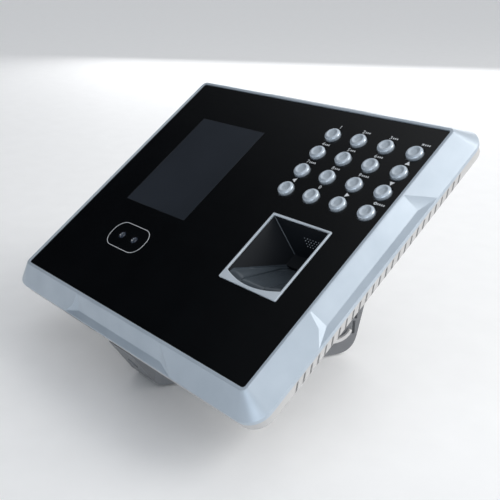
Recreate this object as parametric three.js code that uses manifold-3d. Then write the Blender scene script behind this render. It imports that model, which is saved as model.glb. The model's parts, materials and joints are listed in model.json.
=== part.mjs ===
// Fingerprint terminal on a desk stand: a wall-plate terminal with a colour screen, a camera window,
// a 16-key keypad and a finger scoop, hung on a steel plate on a V-shaped desk stand.
//
// Units are millimetres. The terminal is drawn in its own face frame: x to the right, y up the face,
// z out of the face, with z = 0 at the top of the black front panel. The stand is drawn in the desk
// frame: x to the right, y to the back, z up, with the same origin. The group is then set down so that
// its lowest point is at z = 0 and its box is centred on the origin.
import * as THREE from 'three'
import { mergeVertices } from 'three/addons/utils/BufferGeometryUtils.js'
import Module from 'manifold-3d'

const wasm = await Module()
wasm.setup()

// ---------------------------------------------------------------- driving dimensions
const GAP = 0.3 // clearance between pieces that touch
const FACE_TILT = THREE.MathUtils.degToRad(32.8) // slope of the face from the desk

const CASE_W = 167.5 // outer lip of the front bezel
const CASE_H = 148.8
const CASE_R = 9 // lip corner radius
const BEVEL_SIDE = 7.65 // bevel width at the left and right
const BEVEL_END = 7.45 // bevel width at the top and bottom
const PANEL_T = 2
const PANEL_R = 1.2
const RIM_W = 1.3 // bright rim round the panel
const RIM_RISE = 0.5 // rim above the panel
const RIM_CHAMFER = [0.3, 0.2] // across and down, round the rim's outer edge
const LIP_Z = -7.2 // where the bevel ends
const LIP_T = 1.6 // upright strip below the bevel
const PANEL_LEDGE = 1.6 // how far the bezel carries the panel edge
const RECESS_TOP = 29.3 // half length of a bevel recess at the rim
const RECESS_LIP = 38 // half length at the lip
const RECESS_SHELF = 3 // shelf width at the bottom of a recess
const RECESS_Z = -6.4 // shelf height where it meets the steep facet

const BACK_ROOM = 3.2 // room for the plate hooks behind the sensor board
const SIDE_Z = -12.5 // where the straight side band ends and the taper starts
const SEAM_Z = -13.2 // where the side band meets the rear tray
const REAR_INSET = 0.5 // side band inside the lip
const BACK_INSET = 13.5 // rear wall outline inside the lip
const BACK_R = 7 // rear wall corner radius
const WALL = 2.2 // rear case wall

const SCREEN_W = 43
const SCREEN_H = 57.6
const SCREEN_LEFT = 5.625 // screen left of the middle of the panel beside the keypad
const CAMERA_W = 24.4
const CAMERA_H = 13.6
const CAMERA_BELOW = 11.5 // between the screen and the camera window
const CAMERA_RIGHT = 0.6 // camera window to the right of the screen's middle
const SCREEN_COLUMN_Y = 1.75 // middle of screen and camera window above the panel's middle
const LENS_SPACING = 9
const LENS_R = 1.7
const LENS_BARREL_R = 3.4
const CAMERA_DEPTH = 5.6 // camera barrels under the panel
const CAMERA_BOARD = [28, 13]

const KEY_R = 3.55
const KEY_BETWEEN_X = 6.9 // between keys in a row
const KEY_BETWEEN_Y = 4.03 // between rows
const KEY_RISE = 1.7 // key top above the panel
const KEY_TRAVEL = 0.8
const KEY_HOLE_PLAY = 0.5 // key to panel, all round
const KEY_FLANGE = 1.2 // flange past the key, under the panel
const KEY_FLANGE_T = 0.9
const KEYPAD_RIGHT = 3.45 // keys from the panel's right edge
const KEYPAD_TOP = 11.505 // keys from the panel's top edge
const KEY_NAMES = [
  ['key_1', 'key_2', 'key_3', 'key_escape'],
  ['key_4', 'key_5', 'key_6', 'key_up'],
  ['key_7', 'key_8', 'key_9', 'key_down'],
  ['key_left', 'key_0', 'key_right', 'key_enter'],
]
const DOME_R = 2.6
const DOME_H = 0.6
const MAT_T = 1
const BOARD_T = 1.6

const SENSOR_W = 31.2
const SENSOR_H = 35.8
const SENSOR_RIGHT = 13.85 // scoop frame from the panel's right edge
const SENSOR_BELOW = 9.355 // between the keys and the scoop frame
const SENSOR_RIM = 0.9
const SENSOR_RISE = 0.5
const SENSOR_FRAME_T = 1
const SCOOP_ARC = 3.2 // how far the frame's arc bows towards the lower edge
const SCOOP_SIDE = 3.6 // lower edge of the frame to the ends of the arc
const SCOOP_DEPTH = 15
const SCOOP_FLOOR_HALF = 5.8 // half width of the scoop floor
const SCOOP_FLOOR_Y = [5.5, 11.5] // floor along y, from the sensor centre
const SHROUD_WALL = 1.6
const SHROUD_FLANGE = 1.4 // flange under the panel, past the frame
const SHROUD_FLANGE_T = 1.2
const PLATEN_W = 11.4
const PLATEN_L = 15
const PLATEN_T = 2.4
const PLATEN_SUNK = 1.9 // platen below the ramp of the scoop
const PLATEN_UP = 0.6 // platen above the middle of the ramp
const SENSOR_MODULE_T = 6.4
const SENSOR_MODULE_INSET = [2.6, 2.9] // module inside the scoop frame
const SENSOR_BOARD_INSET = [1.6, 1.9]

const DISPLAY_T = 3.2
const DISPLAY_BORDER = [3.6, 6] // metal frame past the visible screen
const BOARD_TOP = -15 // front of the main board
const BOARD_LEFT = 17.75 // main board from the lip
const BOARD_RIGHT = 20 // main board past the middle of the cable window
const BOARD_FOOT = 12.4 // main board from the lower lip
const BOARD_HEAD = 22.4 // main board from the upper lip
const POST_R = 3
const POST_INSET = [7, 7, 12] // board posts from the side, upper and lower board edges

const SHIELD = { side: 26, t: 3, left: 22, down: 22 } // processor shield, placed from the board corner
const BATTERY = { w: 32, h: 18, r: 3, t: 4.8, x: -12, up: 16 }
const JACK = { w: 16, h: 13.6, t: 11.6, x: -14, y: 17 } // network jack
const JACK_SOCKET = { w: 11.8, y0: -3.6, y1: 4.4, latchW: 5.2, latchY: -5.2, floor: 1.6 }
const POWER = { w: 9.2, h: 10, t: 11, bore: 3.1, pin: 0.9, pinShort: 1.2, x: 3.5, y: 18.5 }
const BLOCK = { pitch: 3.5, end: 0.6, h: 7.6, t: 10, mouthW: 2.2, mouthH: 2.8, mouthDepth: 7, y: 0.6 }
const BLOCK_LOCK = { ways: 6, x: -11.5 }
const BLOCK_SENSOR = { ways: 4, x: 7.7 }
const RESET = { r: 1.6, flangeR: 2.4, flangeT: 2, length: 8, travel: 0.5, x: 13, y: 14 }
const SPEAKER = { r: 7, t: 5, x: -20, slotPitch: 2.4, slotW: 1.2, slots: 5 }
const PORT = { w: 14, d: 14, shell: 0.7, mouthDepth: 9, behind: 2.2, tongueW: 10.8, tongueT: 1.4 }
const PORT_SLOT = { x0: -43, x1: -18, z0: -12.2, z1: -9.9 } // long slot in the bottom band
const PORT_COVER_INSET = 0.8
const RIBBON_T = 0.4
const RIBBON_W = 12

const SCREW_INSET = [7.35, 7.2] // case screws from the lip
const SCREW_R = 1.2
const SCREW_HEAD_R = 2.5
const SCREW_HEAD_T = 1.9
const SCREW_SOCKET = [0.9, 0.8] // radius and depth of a screw's hexagon socket
const SCREW_WELL_R = 3
const SCREW_SEAT_Z = -14.6
const SCREW_TIP_Z = -5.2
const COLUMN_R = 4.8

const VENT_PITCH = 4.2
const VENT_W = 1.2
const VENT_END = 21.5 // first and last vent from the lip corners
const VENT_Z = [-12.5, -9.8]
const VENT_SHEAR = 2.6 // how far a vent leans along the side over its height

const CABLE_WINDOW = { x0: -25, x1: 25, y0: -7, y1: 27 } // opening through rear wall, plate and stand
const PLATE_T = 1.3
const PLATE_W = 96
const PLATE_H = 88
const PLATE_R = 4
const HOOK_AT = [38, 27] // plate hooks, mirrored to four
const HOOK_W = 8
const HOOK_T = 1.5
const HOOK_LIP = 6
const HOOK_PLAY = 0.5 // hook lip inside the rear wall
const SLIDE_TRAVEL = 9 // upward slide that frees the terminal from its hooks
const PLATE_SCREW_AT = [14, -17]
const PLATE_SCREW = { r: 1.3, headR: 2.75, past: 2, play: 0.3, holeHeadR: 3.2, holeR: 1.7 }

const FOOT_SHOW = 0.8 // rubber foot below the stand
const FOOT_T = 2
const FOOT_R = 4.2
const FOOT_BOSS = { wall: 2, h: 8, inset: 0.8 }
const STAND_WALL = 2.6
const STAND_FRONT_HALF = 8.2 // half width of the front foot
const STAND_FRONT_INSET = 0.2 // front face of the foot behind the lip
const STAND_FRONT_T = 6 // thickness of the tongue in front of the case
const STAND_TOE = [3, 4] // rounded toe, up and back
const TOE_DROP = 6.937 // desk below the front corner of the stand's top plate
const STAND_SPLAY = 0.42 // cheek spread per millimetre of depth
const STAND_SPLAY_LEAD = 1.1 // cheeks start to spread this far in front of the toe
const STAND_SOLID = 16.9 // depth of solid foot behind the toe
const STAND_CORNER_R = 8 // rear lower corner
const STAND_REAR_Y = [43.5, 46.3, 47.5] // rear edge depth: above the corner, middle, top
const STAND_REAR_UP = [9.2, 25.2] // heights above the desk of the first two
const STAND_TOP_T = 2.5
const FRONT_PAD = 6.9 // front rubber foot behind the toe
const REAR_PAD = { y: 27, inset: 5 } // rear rubber feet, inside the cheeks
const CHEEK_SLOT = { w: 1.2, in: 3, lean: 0.1, spans: [[17.7, 22], [10.2, 16.7]] } // heights above desk
const CLIP = { y: 36, up: 8.6, t: 1.6 } // cable clip on each cheek

const LOCK_Z = -24 // lock screw through the front foot
const LOCK = { headR: 2.6, headT: 2, sunk: 0.9, length: 14, hole: 18, well: 4.2 }
const FAR = 200 // longer than the object, for cutting tools

// ---------------------------------------------------------------- materials
const finish = (color, roughness, metalness) => () =>
  new THREE.MeshStandardMaterial({ color, roughness, metalness })
const silverPaint = finish(0xb4c0cc, 0.38, 0.55)
const blackGloss = finish(0x0a0c0f, 0.12, 0)
const blackMatte = finish(0x14161a, 0.5, 0)
const greyPlastic = finish(0xb9b7b5, 0.55, 0)
const standGrey = finish(0x7d7f83, 0.5, 0)
const screenGlass = finish(0x2b3038, 0.1, 0)
const lensGlass = finish(0x18202a, 0.05, 0)
const platenGlass = finish(0x20262c, 0.05, 0)
const steel = finish(0x9a9da1, 0.35, 1)
const connectorPlastic = finish(0x1f5f3a, 0.5, 0)
const boardGreen = finish(0x1d5a38, 0.45, 0)
const rubberBlack = finish(0x1b1b1c, 0.85, 0)
const matSilicone = finish(0xc9ccd0, 0.7, 0)
const ribbonWhite = finish(0xe4e2da, 0.6, 0)
const lightPlastic = finish(0xd8d6d2, 0.45, 0)

// ---------------------------------------------------------------- geometry helpers
function toManifold(geometry) {
  const bare = geometry.clone()
  bare.deleteAttribute('normal')
  bare.deleteAttribute('uv')
  const merged = mergeVertices(bare, 1e-4)
  return new wasm.Manifold(
    new wasm.Mesh({
      numProp: 3,
      vertProperties: new Float32Array(merged.attributes.position.array),
      triVerts: new Uint32Array(merged.index.array),
    }),
  )
}

function toGeometry(manifold) {
  const mesh = manifold.getMesh()
  const geometry = new THREE.BufferGeometry()
  geometry.setAttribute('position', new THREE.BufferAttribute(new Float32Array(mesh.vertProperties), 3))
  geometry.setIndex(new THREE.BufferAttribute(new Uint32Array(mesh.triVerts), 1))
  return geometry
}

const join = (first, ...rest) => rest.reduce((sum, piece) => sum.add(piece), first)
const cut = (body, ...tools) => tools.reduce((rest, tool) => rest.subtract(tool), body)

function box(x0, x1, y0, y1, z0, z1) {
  const geometry = new THREE.BoxGeometry(x1 - x0, y1 - y0, z1 - z0)
  geometry.translate((x0 + x1) / 2, (y0 + y1) / 2, (z0 + z1) / 2)
  return toManifold(geometry)
}

function cylinder(x, y, z0, z1, radius, sides = 20, topRadius = radius) {
  const geometry = new THREE.CylinderGeometry(topRadius, radius, z1 - z0, sides)
  geometry.rotateX(Math.PI / 2)
  geometry.translate(x, y, (z0 + z1) / 2)
  return toManifold(geometry)
}

function lathe(profile, sides = 18) {
  const geometry = new THREE.LatheGeometry(profile.map(([r, z]) => new THREE.Vector2(r, z)), sides)
  geometry.rotateX(Math.PI / 2)
  return toManifold(geometry)
}

function extrude(outline, z0, z1, steps = 6) {
  const shape = Array.isArray(outline)
    ? new THREE.Shape(outline.map(([x, y]) => new THREE.Vector2(x, y)))
    : outline
  const geometry = new THREE.ExtrudeGeometry(shape, {
    depth: z1 - z0,
    bevelEnabled: false,
    curveSegments: steps,
  })
  geometry.translate(0, 0, z0)
  return toManifold(geometry)
}

// A profile in the depth-height plane, carried across the width from x0 to x1.
function acrossWidth(outline, x0, x1, steps = 8) {
  const solid = extrude(outline, x0, x1, steps)
  return solid.transform([0, 1, 0, 0, 0, 0, 1, 0, 1, 0, 0, 0, 0, 0, 0, 1])
}

function roundedOutline(halfX, halfY, radius, steps = 6) {
  const corners = [
    [1, 1, 0],
    [-1, 1, 90],
    [-1, -1, 180],
    [1, -1, 270],
  ]
  return corners.flatMap(([sx, sy, start]) =>
    Array.from({ length: steps + 1 }, (_, i) => {
      const angle = THREE.MathUtils.degToRad(start + (90 * i) / steps)
      return [
        sx * (halfX - radius) + radius * Math.cos(angle),
        sy * (halfY - radius) + radius * Math.sin(angle),
      ]
    }),
  )
}

// A closed body through outlines of equal point count, from the lowest level to the highest.
function loft(levels) {
  const count = levels[0].outline.length
  const positions = levels.flatMap(({ outline, z }) => outline.flatMap(([x, y]) => [x, y, z]))
  const index = []
  for (let level = 0; level + 1 < levels.length; level += 1) {
    for (let i = 0; i < count; i += 1) {
      const a = level * count + i
      const b = level * count + ((i + 1) % count)
      index.push(a, b, b + count, a, b + count, a + count)
    }
  }
  const last = (levels.length - 1) * count
  for (let i = 1; i + 1 < count; i += 1) {
    index.push(0, i + 1, i, last, last + i, last + i + 1)
  }
  const geometry = new THREE.BufferGeometry()
  geometry.setAttribute('position', new THREE.Float32BufferAttribute(positions, 3))
  geometry.setIndex(index)
  return toManifold(geometry)
}

const roundedBox = (halfX, halfY, radius, z0, z1, steps = 4) =>
  loft([
    { outline: roundedOutline(halfX, halfY, radius, steps), z: z0 },
    { outline: roundedOutline(halfX, halfY, radius, steps), z: z1 },
  ])

const mirrored = ([x, y]) => [
  [x, y],
  [-x, y],
  [-x, -y],
  [x, -y],
]

const part = new THREE.Group()
const terminal = new THREE.Group()
terminal.rotation.x = FACE_TILT
part.add(terminal)

function addNode(group, name, solid, material) {
  const mesh = new THREE.Mesh(toGeometry(solid), material())
  mesh.name = name
  group.add(mesh)
  return mesh
}

// ---------------------------------------------------------------- shared levels and places
const panelW = CASE_W - 2 * (BEVEL_SIDE + RIM_W + GAP)
const panelH = CASE_H - 2 * (BEVEL_END + RIM_W + GAP)
const rimHalfX = CASE_W / 2 - BEVEL_SIDE
const rimHalfY = CASE_H / 2 - BEVEL_END

const panelBottom = -PANEL_T
const bezelBottom = LIP_Z - LIP_T
const rearTop = bezelBottom - GAP - 0.1
const flangeTop = panelBottom - GAP
const keyFlangeR = KEY_R + KEY_FLANGE
const domeTop = flangeTop - KEY_FLANGE_T - KEY_TRAVEL - GAP
const matTop = domeTop - DOME_H
const keyBoardTop = matTop - MAT_T - GAP
const cameraBoardTop = flangeTop - CAMERA_DEPTH
const shroudTop = SENSOR_RISE - SENSOR_FRAME_T - GAP
const shroudBottom = -SCOOP_DEPTH - SHROUD_WALL
const sensorModuleTop = shroudBottom - GAP
const sensorBoardTop = sensorModuleTop - SENSOR_MODULE_T - GAP
const innerBackZ = sensorBoardTop - BOARD_T - BACK_ROOM
const backZ = innerBackZ - WALL
const plateTop = backZ - GAP
const plateBottom = plateTop - PLATE_T
const standTopZ = plateBottom - GAP

const keyPitchX = 2 * KEY_R + KEY_BETWEEN_X
const keyPitchY = 2 * KEY_R + KEY_BETWEEN_Y
const keypadHalfX = 1.5 * keyPitchX + KEY_R
const keypadHalfY = 1.5 * keyPitchY + KEY_R
const keypadX = panelW / 2 - KEYPAD_RIGHT - keypadHalfX
const keypadY = panelH / 2 - KEYPAD_TOP - keypadHalfY
const sensorX = panelW / 2 - SENSOR_RIGHT - SENSOR_W / 2
const sensorY = keypadY - keypadHalfY - SENSOR_BELOW - SENSOR_H / 2
const screenX = (keypadX - keypadHalfX - panelW / 2) / 2 - SCREEN_LEFT
const screenY = SCREEN_COLUMN_Y + (CAMERA_BELOW + CAMERA_H) / 2
const cameraX = screenX + CAMERA_RIGHT
const cameraY = screenY - SCREEN_H / 2 - CAMERA_BELOW - CAMERA_H / 2

const keyPlaces = KEY_NAMES.flatMap((row, j) =>
  row.map((name, i) => ({
    name,
    x: keypadX + (i - 1.5) * keyPitchX,
    y: keypadY + (1.5 - j) * keyPitchY,
  })),
)
const lensPlaces = [-1, 1].map((side) => [cameraX + (side * LENS_SPACING) / 2, cameraY])
const screwPlaces = mirrored([CASE_W / 2 - SCREW_INSET[0], CASE_H / 2 - SCREW_INSET[1]])
const hookPlaces = mirrored(HOOK_AT)
const plateScrewPlaces = [-1, 1].map((side) => [side * PLATE_SCREW_AT[0], PLATE_SCREW_AT[1]])

const board = {
  x0: -CASE_W / 2 + BOARD_LEFT,
  x1: BOARD_RIGHT,
  y0: -CASE_H / 2 + BOARD_FOOT,
  y1: CASE_H / 2 - BOARD_HEAD,
  bottom: BOARD_TOP - BOARD_T,
}
const onBoardBack = board.bottom - GAP
const onBoardFront = BOARD_TOP + GAP
const speakerY = -(CASE_H / 2 - BACK_INSET - WALL - SPEAKER.r - GAP)

// ---------------------------------------------------------------- front bezel
function recessCutter(rimHalf, lipHalf) {
  // Steep facet from the rim, shelf to the lip, and a slanted triangle at each end.
  const rim = [rimHalf, 0]
  const foot = [lipHalf - RECESS_SHELF, RECESS_Z]
  const lip = [lipHalf, LIP_Z]
  const past = [rim[0] + lip[0] - foot[0] + 1, rim[1] + lip[1] - foot[1] + 1]
  const spans = [RECESS_TOP, RECESS_TOP, RECESS_LIP, RECESS_LIP]
  const corners = [rim, foot, lip, past]
  const positions = [-1, 1].flatMap((side) =>
    corners.flatMap(([out, z], i) => [side * spans[i], -out, z]),
  )
  const geometry = new THREE.BufferGeometry()
  geometry.setAttribute('position', new THREE.Float32BufferAttribute(positions, 3))
  const index = []
  for (let i = 0; i < 4; i += 1) {
    const next = (i + 1) % 4
    index.push(i, i + 4, next + 4, i, next + 4, next)
  }
  index.push(0, 1, 2, 0, 2, 3, 4, 6, 5, 4, 7, 6)
  geometry.setIndex(index)
  return toManifold(geometry)
}

function frontBezel() {
  const [across, down] = RIM_CHAMFER
  const rimR = PANEL_R + RIM_W
  const body = loft([
    { outline: roundedOutline(CASE_W / 2, CASE_H / 2, CASE_R), z: bezelBottom },
    { outline: roundedOutline(CASE_W / 2, CASE_H / 2, CASE_R), z: LIP_Z },
    { outline: roundedOutline(rimHalfX, rimHalfY, rimR), z: RIM_RISE - down },
    { outline: roundedOutline(rimHalfX - across, rimHalfY - across, rimR - across), z: RIM_RISE },
  ])
  const pocket = roundedBox(panelW / 2 + GAP, panelH / 2 + GAP, PANEL_R, panelBottom - GAP, 5)
  const opening = roundedBox(
    panelW / 2 - PANEL_LEDGE,
    panelH / 2 - PANEL_LEDGE,
    PANEL_R,
    bezelBottom - 1,
    5,
  )
  const endCut = recessCutter(rimHalfY, CASE_H / 2)
  const sideCut = recessCutter(rimHalfX, CASE_W / 2)
  const screwHoles = screwPlaces.map(([x, y]) =>
    cylinder(x, y, bezelBottom - 1, SCREW_TIP_Z + GAP, SCREW_R + GAP, 12),
  )
  return cut(
    body,
    pocket,
    opening,
    endCut,
    endCut.rotate([0, 0, 180]),
    sideCut.rotate([0, 0, 90]),
    sideCut.rotate([0, 0, 270]),
    ...screwHoles,
  )
}

// ---------------------------------------------------------------- front panel, screen and camera
const pillOutline = (w, h, grow = 0) => roundedOutline(w / 2 + grow, h / 2 + grow, h / 2 + grow - 1, 5)

const openingAt = (x, y, w, h) =>
  box(-w / 2 - GAP, w / 2 + GAP, -h / 2 - GAP, h / 2 + GAP, -5, 5).translate([x, y, 0])

function frontPanel() {
  const keyHoles = keyPlaces.map(({ x, y }) => cylinder(x, y, -5, 5, KEY_R + KEY_HOLE_PLAY, 18))
  const screen = openingAt(screenX, screenY, SCREEN_W, SCREEN_H)
  const cameraHole = extrude(pillOutline(CAMERA_W, CAMERA_H, GAP), -5, 5).translate([cameraX, cameraY, 0])
  const sensorHole = openingAt(sensorX, sensorY, SENSOR_W, SENSOR_H)
  return cut(
    roundedBox(panelW / 2, panelH / 2, PANEL_R, panelBottom, 0),
    ...keyHoles,
    screen,
    cameraHole,
    sensorHole,
  )
}

const screenWindow = () =>
  box(-SCREEN_W / 2, SCREEN_W / 2, -SCREEN_H / 2, SCREEN_H / 2, panelBottom, 0)
    .translate([screenX, screenY, 0])

function displayModule() {
  const halfX = SCREEN_W / 2 + DISPLAY_BORDER[0]
  const halfY = SCREEN_H / 2 + DISPLAY_BORDER[1]
  return box(-halfX, halfX, -halfY, halfY, flangeTop - DISPLAY_T, flangeTop)
    .translate([screenX, screenY, 0])
}

function cameraWindow() {
  const plate = extrude(pillOutline(CAMERA_W, CAMERA_H), panelBottom, 0).translate([cameraX, cameraY, 0])
  return cut(plate, ...lensPlaces.map(([x, y]) => cylinder(x, y, -5, 5, LENS_R + GAP, 16)))
}

function cameraModule([x, y]) {
  const barrelBottom = cameraBoardTop + GAP
  return lathe([
    [0, barrelBottom],
    [LENS_BARREL_R, barrelBottom],
    [LENS_BARREL_R, flangeTop],
    [LENS_R, flangeTop],
    [LENS_R, -0.7],
    [LENS_R * 0.6, -0.35],
    [0, -0.2],
  ], 16).translate([x, y, 0])
}

function cameraBoard() {
  const [w, h] = CAMERA_BOARD
  return box(-w / 2, w / 2, -h / 2, h / 2, cameraBoardTop - BOARD_T, cameraBoardTop)
    .translate([cameraX, cameraY, 0])
}

// ---------------------------------------------------------------- keypad
function key({ x, y }) {
  const flangeBottom = flangeTop - KEY_FLANGE_T
  return lathe([
    [0, flangeBottom],
    [keyFlangeR, flangeBottom],
    [keyFlangeR, flangeTop],
    [KEY_R, flangeTop],
    [KEY_R, KEY_RISE - 1],
    [KEY_R * 0.93, KEY_RISE - 0.5],
    [KEY_R * 0.72, KEY_RISE - 0.15],
    [0, KEY_RISE],
  ]).translate([x, y, 0])
}

function keypadSheet(bottom, top) {
  const halfX = keypadHalfX + KEY_FLANGE
  const halfY = keypadHalfY + KEY_FLANGE
  return box(-halfX, halfX, -halfY, halfY, bottom, top).translate([keypadX, keypadY, 0])
}

function keyMat() {
  const domes = keyPlaces.map(({ x, y }) => cylinder(x, y, matTop - MAT_T / 2, domeTop, DOME_R, 12))
  return join(keypadSheet(matTop - MAT_T, matTop), ...domes)
}

const keypadBoard = () => keypadSheet(keyBoardTop - BOARD_T, keyBoardTop)

// ---------------------------------------------------------------- fingerprint sensor
function sensorFrame() {
  const halfX = SENSOR_W / 2
  const halfY = SENSOR_H / 2
  const innerX = halfX - SENSOR_RIM
  const sideY = -halfY + SCOOP_SIDE + SENSOR_RIM
  const shape = new THREE.Shape()
  shape.moveTo(-halfX, -halfY)
  shape.lineTo(halfX, -halfY)
  shape.lineTo(halfX, halfY)
  shape.lineTo(-halfX, halfY)
  shape.closePath()
  const hole = new THREE.Path()
  hole.moveTo(-innerX, sideY)
  hole.quadraticCurveTo(0, sideY - 2 * SCOOP_ARC, innerX, sideY)
  hole.lineTo(innerX, halfY - SENSOR_RIM)
  hole.lineTo(-innerX, halfY - SENSOR_RIM)
  hole.closePath()
  shape.holes.push(hole)
  return extrude(shape, SENSOR_RISE - SENSOR_FRAME_T, SENSOR_RISE, 12).translate([sensorX, sensorY, 0])
}

const rectangle = (x0, x1, y0, y1) => [
  [x0, y0],
  [x1, y0],
  [x1, y1],
  [x0, y1],
]

const scoopTopHalf = SENSOR_W / 2 - SENSOR_RIM
const scoopTopY = [-SENSOR_H / 2 + SENSOR_RIM + SCOOP_SIDE, SENSOR_H / 2 - SENSOR_RIM]
const rampSlope = Math.atan2(SCOOP_DEPTH, SCOOP_FLOOR_Y[0] - scoopTopY[0])

// The prism and its opening are drawn flat, then laid on the ramp of the scoop.
function onRamp(solid) {
  const midY = (scoopTopY[0] + SCOOP_FLOOR_Y[0]) / 2 + PLATEN_UP
  const midZ = -(midY - scoopTopY[0]) * Math.tan(rampSlope)
  return solid
    .rotate([-THREE.MathUtils.radToDeg(rampSlope), 0, 0])
    .translate([sensorX, sensorY + midY, midZ])
}

function sensorShroud() {
  const halfX = SENSOR_W / 2 - GAP
  const halfY = SENSOR_H / 2 - GAP
  const tube = box(-halfX, halfX, -halfY, halfY, shroudBottom, shroudTop)
  const flange = box(
    -halfX - SHROUD_FLANGE,
    halfX + SHROUD_FLANGE,
    -halfY - SHROUD_FLANGE,
    halfY + SHROUD_FLANGE,
    flangeTop - SHROUD_FLANGE_T,
    flangeTop,
  )
  const scoop = loft([
    {
      outline: rectangle(-SCOOP_FLOOR_HALF, SCOOP_FLOOR_HALF, SCOOP_FLOOR_Y[0], SCOOP_FLOOR_Y[1]),
      z: -SCOOP_DEPTH,
    },
    { outline: rectangle(-scoopTopHalf, scoopTopHalf, scoopTopY[0], scoopTopY[1]), z: 0 },
  ])
  const body = cut(join(tube, flange), scoop, scoop.translate([0, 0, 0.5]))
    .translate([sensorX, sensorY, 0])
  return cut(body, platenBlock(GAP, 4 + PLATEN_SUNK))
}

// The platen's block on the ramp, grown by a clearance and reaching up to a height over its top.
function platenBlock(grow, top) {
  const halfW = PLATEN_W / 2 + grow
  const halfL = PLATEN_L / 2 + grow
  return onRamp(box(-halfW, halfW, -halfL, halfL, -PLATEN_SUNK - PLATEN_T - grow, top - PLATEN_SUNK))
}

const sensorPrism = () => platenBlock(0, 0)

function sensorModule() {
  const halfX = SENSOR_W / 2 - SENSOR_MODULE_INSET[0]
  const halfY = SENSOR_H / 2 - SENSOR_MODULE_INSET[1]
  return roundedBox(halfX, halfY, 1.5, sensorModuleTop - SENSOR_MODULE_T, sensorModuleTop, 2)
    .translate([sensorX, sensorY, 0])
}

function sensorBoard() {
  const halfX = SENSOR_W / 2 - SENSOR_BOARD_INSET[0]
  const halfY = SENSOR_H / 2 - SENSOR_BOARD_INSET[1]
  return box(-halfX, halfX, -halfY, halfY, sensorBoardTop - BOARD_T, sensorBoardTop)
    .translate([sensorX, sensorY, 0])
}

// ---------------------------------------------------------------- rear case
function rearOutline(inset, radius) {
  return roundedOutline(CASE_W / 2 - inset, CASE_H / 2 - inset, radius)
}

const rearEnvelope = (grow) =>
  loft([
    { outline: rearOutline(BACK_INSET - grow, BACK_R + grow), z: backZ - grow },
    { outline: rearOutline(REAR_INSET - grow, CASE_R - REAR_INSET + grow), z: SIDE_Z },
    { outline: rearOutline(REAR_INSET - grow, CASE_R - REAR_INSET + grow), z: rearTop },
  ])

function sideVents() {
  // Slanted slots along both side bands.
  const [z0, z1] = VENT_Z
  const half = VENT_W / 2
  const outline = [
    [-half, z0],
    [half, z0],
    [half + VENT_SHEAR, z1],
    [-half + VENT_SHEAR, z1],
  ]
  const count = Math.floor((CASE_H - 2 * VENT_END) / VENT_PITCH) + 1
  const start = -((count - 1) * VENT_PITCH) / 2 - VENT_SHEAR / 2
  return [-1, 1].flatMap((side) =>
    Array.from({ length: count }, (_, i) => {
      const outer = side * (CASE_W / 2 + 1)
      const inner = side * (CASE_W / 2 - REAR_INSET - WALL - 3)
      const slot = acrossWidth(outline, Math.min(inner, outer), Math.max(inner, outer))
      return slot.translate([0, start + i * VENT_PITCH, 0])
    }),
  )
}

function hookSlot([x, y]) {
  // The hook stem stands at the top of the slot; below it is room for the lip to come out.
  return box(
    x - HOOK_W / 2 - GAP,
    x + HOOK_W / 2 + GAP,
    y - HOOK_T / 2 - SLIDE_TRAVEL - GAP,
    y + HOOK_T / 2 + GAP,
    backZ - 1,
    innerBackZ + 1,
  )
}

// The rear shell with its screw columns, before the seam divides it into side band and tray.
function rearShell() {
  const inner = loft([
    { outline: rearOutline(BACK_INSET + WALL, BACK_R - WALL), z: innerBackZ },
    { outline: rearOutline(REAR_INSET + WALL, CASE_R - REAR_INSET - WALL), z: SIDE_Z },
    { outline: rearOutline(REAR_INSET + WALL, CASE_R - REAR_INSET - WALL), z: rearTop + 1 },
  ])
  const outer = rearEnvelope(0)
  const columns = screwPlaces.map(([x, y]) => cylinder(x, y, backZ, rearTop, COLUMN_R, 16).intersect(outer))
  const shafts = screwPlaces.map(([x, y]) => cylinder(x, y, backZ, rearTop + 1, SCREW_R + GAP, 12))
  return cut(join(cut(outer, inner), ...columns), ...shafts)
}

function sideBand() {
  const portSlot = box(
    PORT_SLOT.x0,
    PORT_SLOT.x1,
    -CASE_H / 2 - 1,
    -CASE_H / 2 + REAR_INSET + WALL + 2,
    PORT_SLOT.z0,
    PORT_SLOT.z1,
  )
  const below = box(-FAR, FAR, -FAR, FAR, backZ - 1, SEAM_Z)
  return cut(rearShell(), below, portSlot, ...sideVents())
}

function rearCase() {
  const above = box(-FAR, FAR, -FAR, FAR, SEAM_Z - GAP, 1)
  const wells = screwPlaces.map(([x, y]) => cylinder(x, y, backZ - 1, SCREW_SEAT_Z, SCREW_WELL_R, 16))
  const posts = boardPosts.map(([x, y]) =>
    cylinder(x, y, innerBackZ - WALL / 2, board.bottom - GAP, POST_R, 12),
  )
  return cut(
    join(cut(rearShell(), above), ...posts),
    ...wells,
    cableWindow(backZ - 1, innerBackZ + 1),
    ...speakerSlots(),
    ...hookPlaces.map(hookSlot),
    lockScrewTool(SCREW_R + GAP),
  )
}

const cableWindow = (z0, z1) =>
  box(CABLE_WINDOW.x0, CABLE_WINDOW.x1, CABLE_WINDOW.y0, CABLE_WINDOW.y1, z0, z1)

function speakerSlots() {
  const middle = (SPEAKER.slots - 1) / 2
  return Array.from({ length: SPEAKER.slots }, (_, i) => {
    const y = (i - middle) * SPEAKER.slotPitch
    const reach = Math.sqrt((SPEAKER.r - 1) ** 2 - y ** 2)
    const half = SPEAKER.slotW / 2
    return box(-reach, reach, y - half, y + half, backZ - 1, innerBackZ + 1)
      .translate([SPEAKER.x, speakerY, 0])
  })
}

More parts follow.
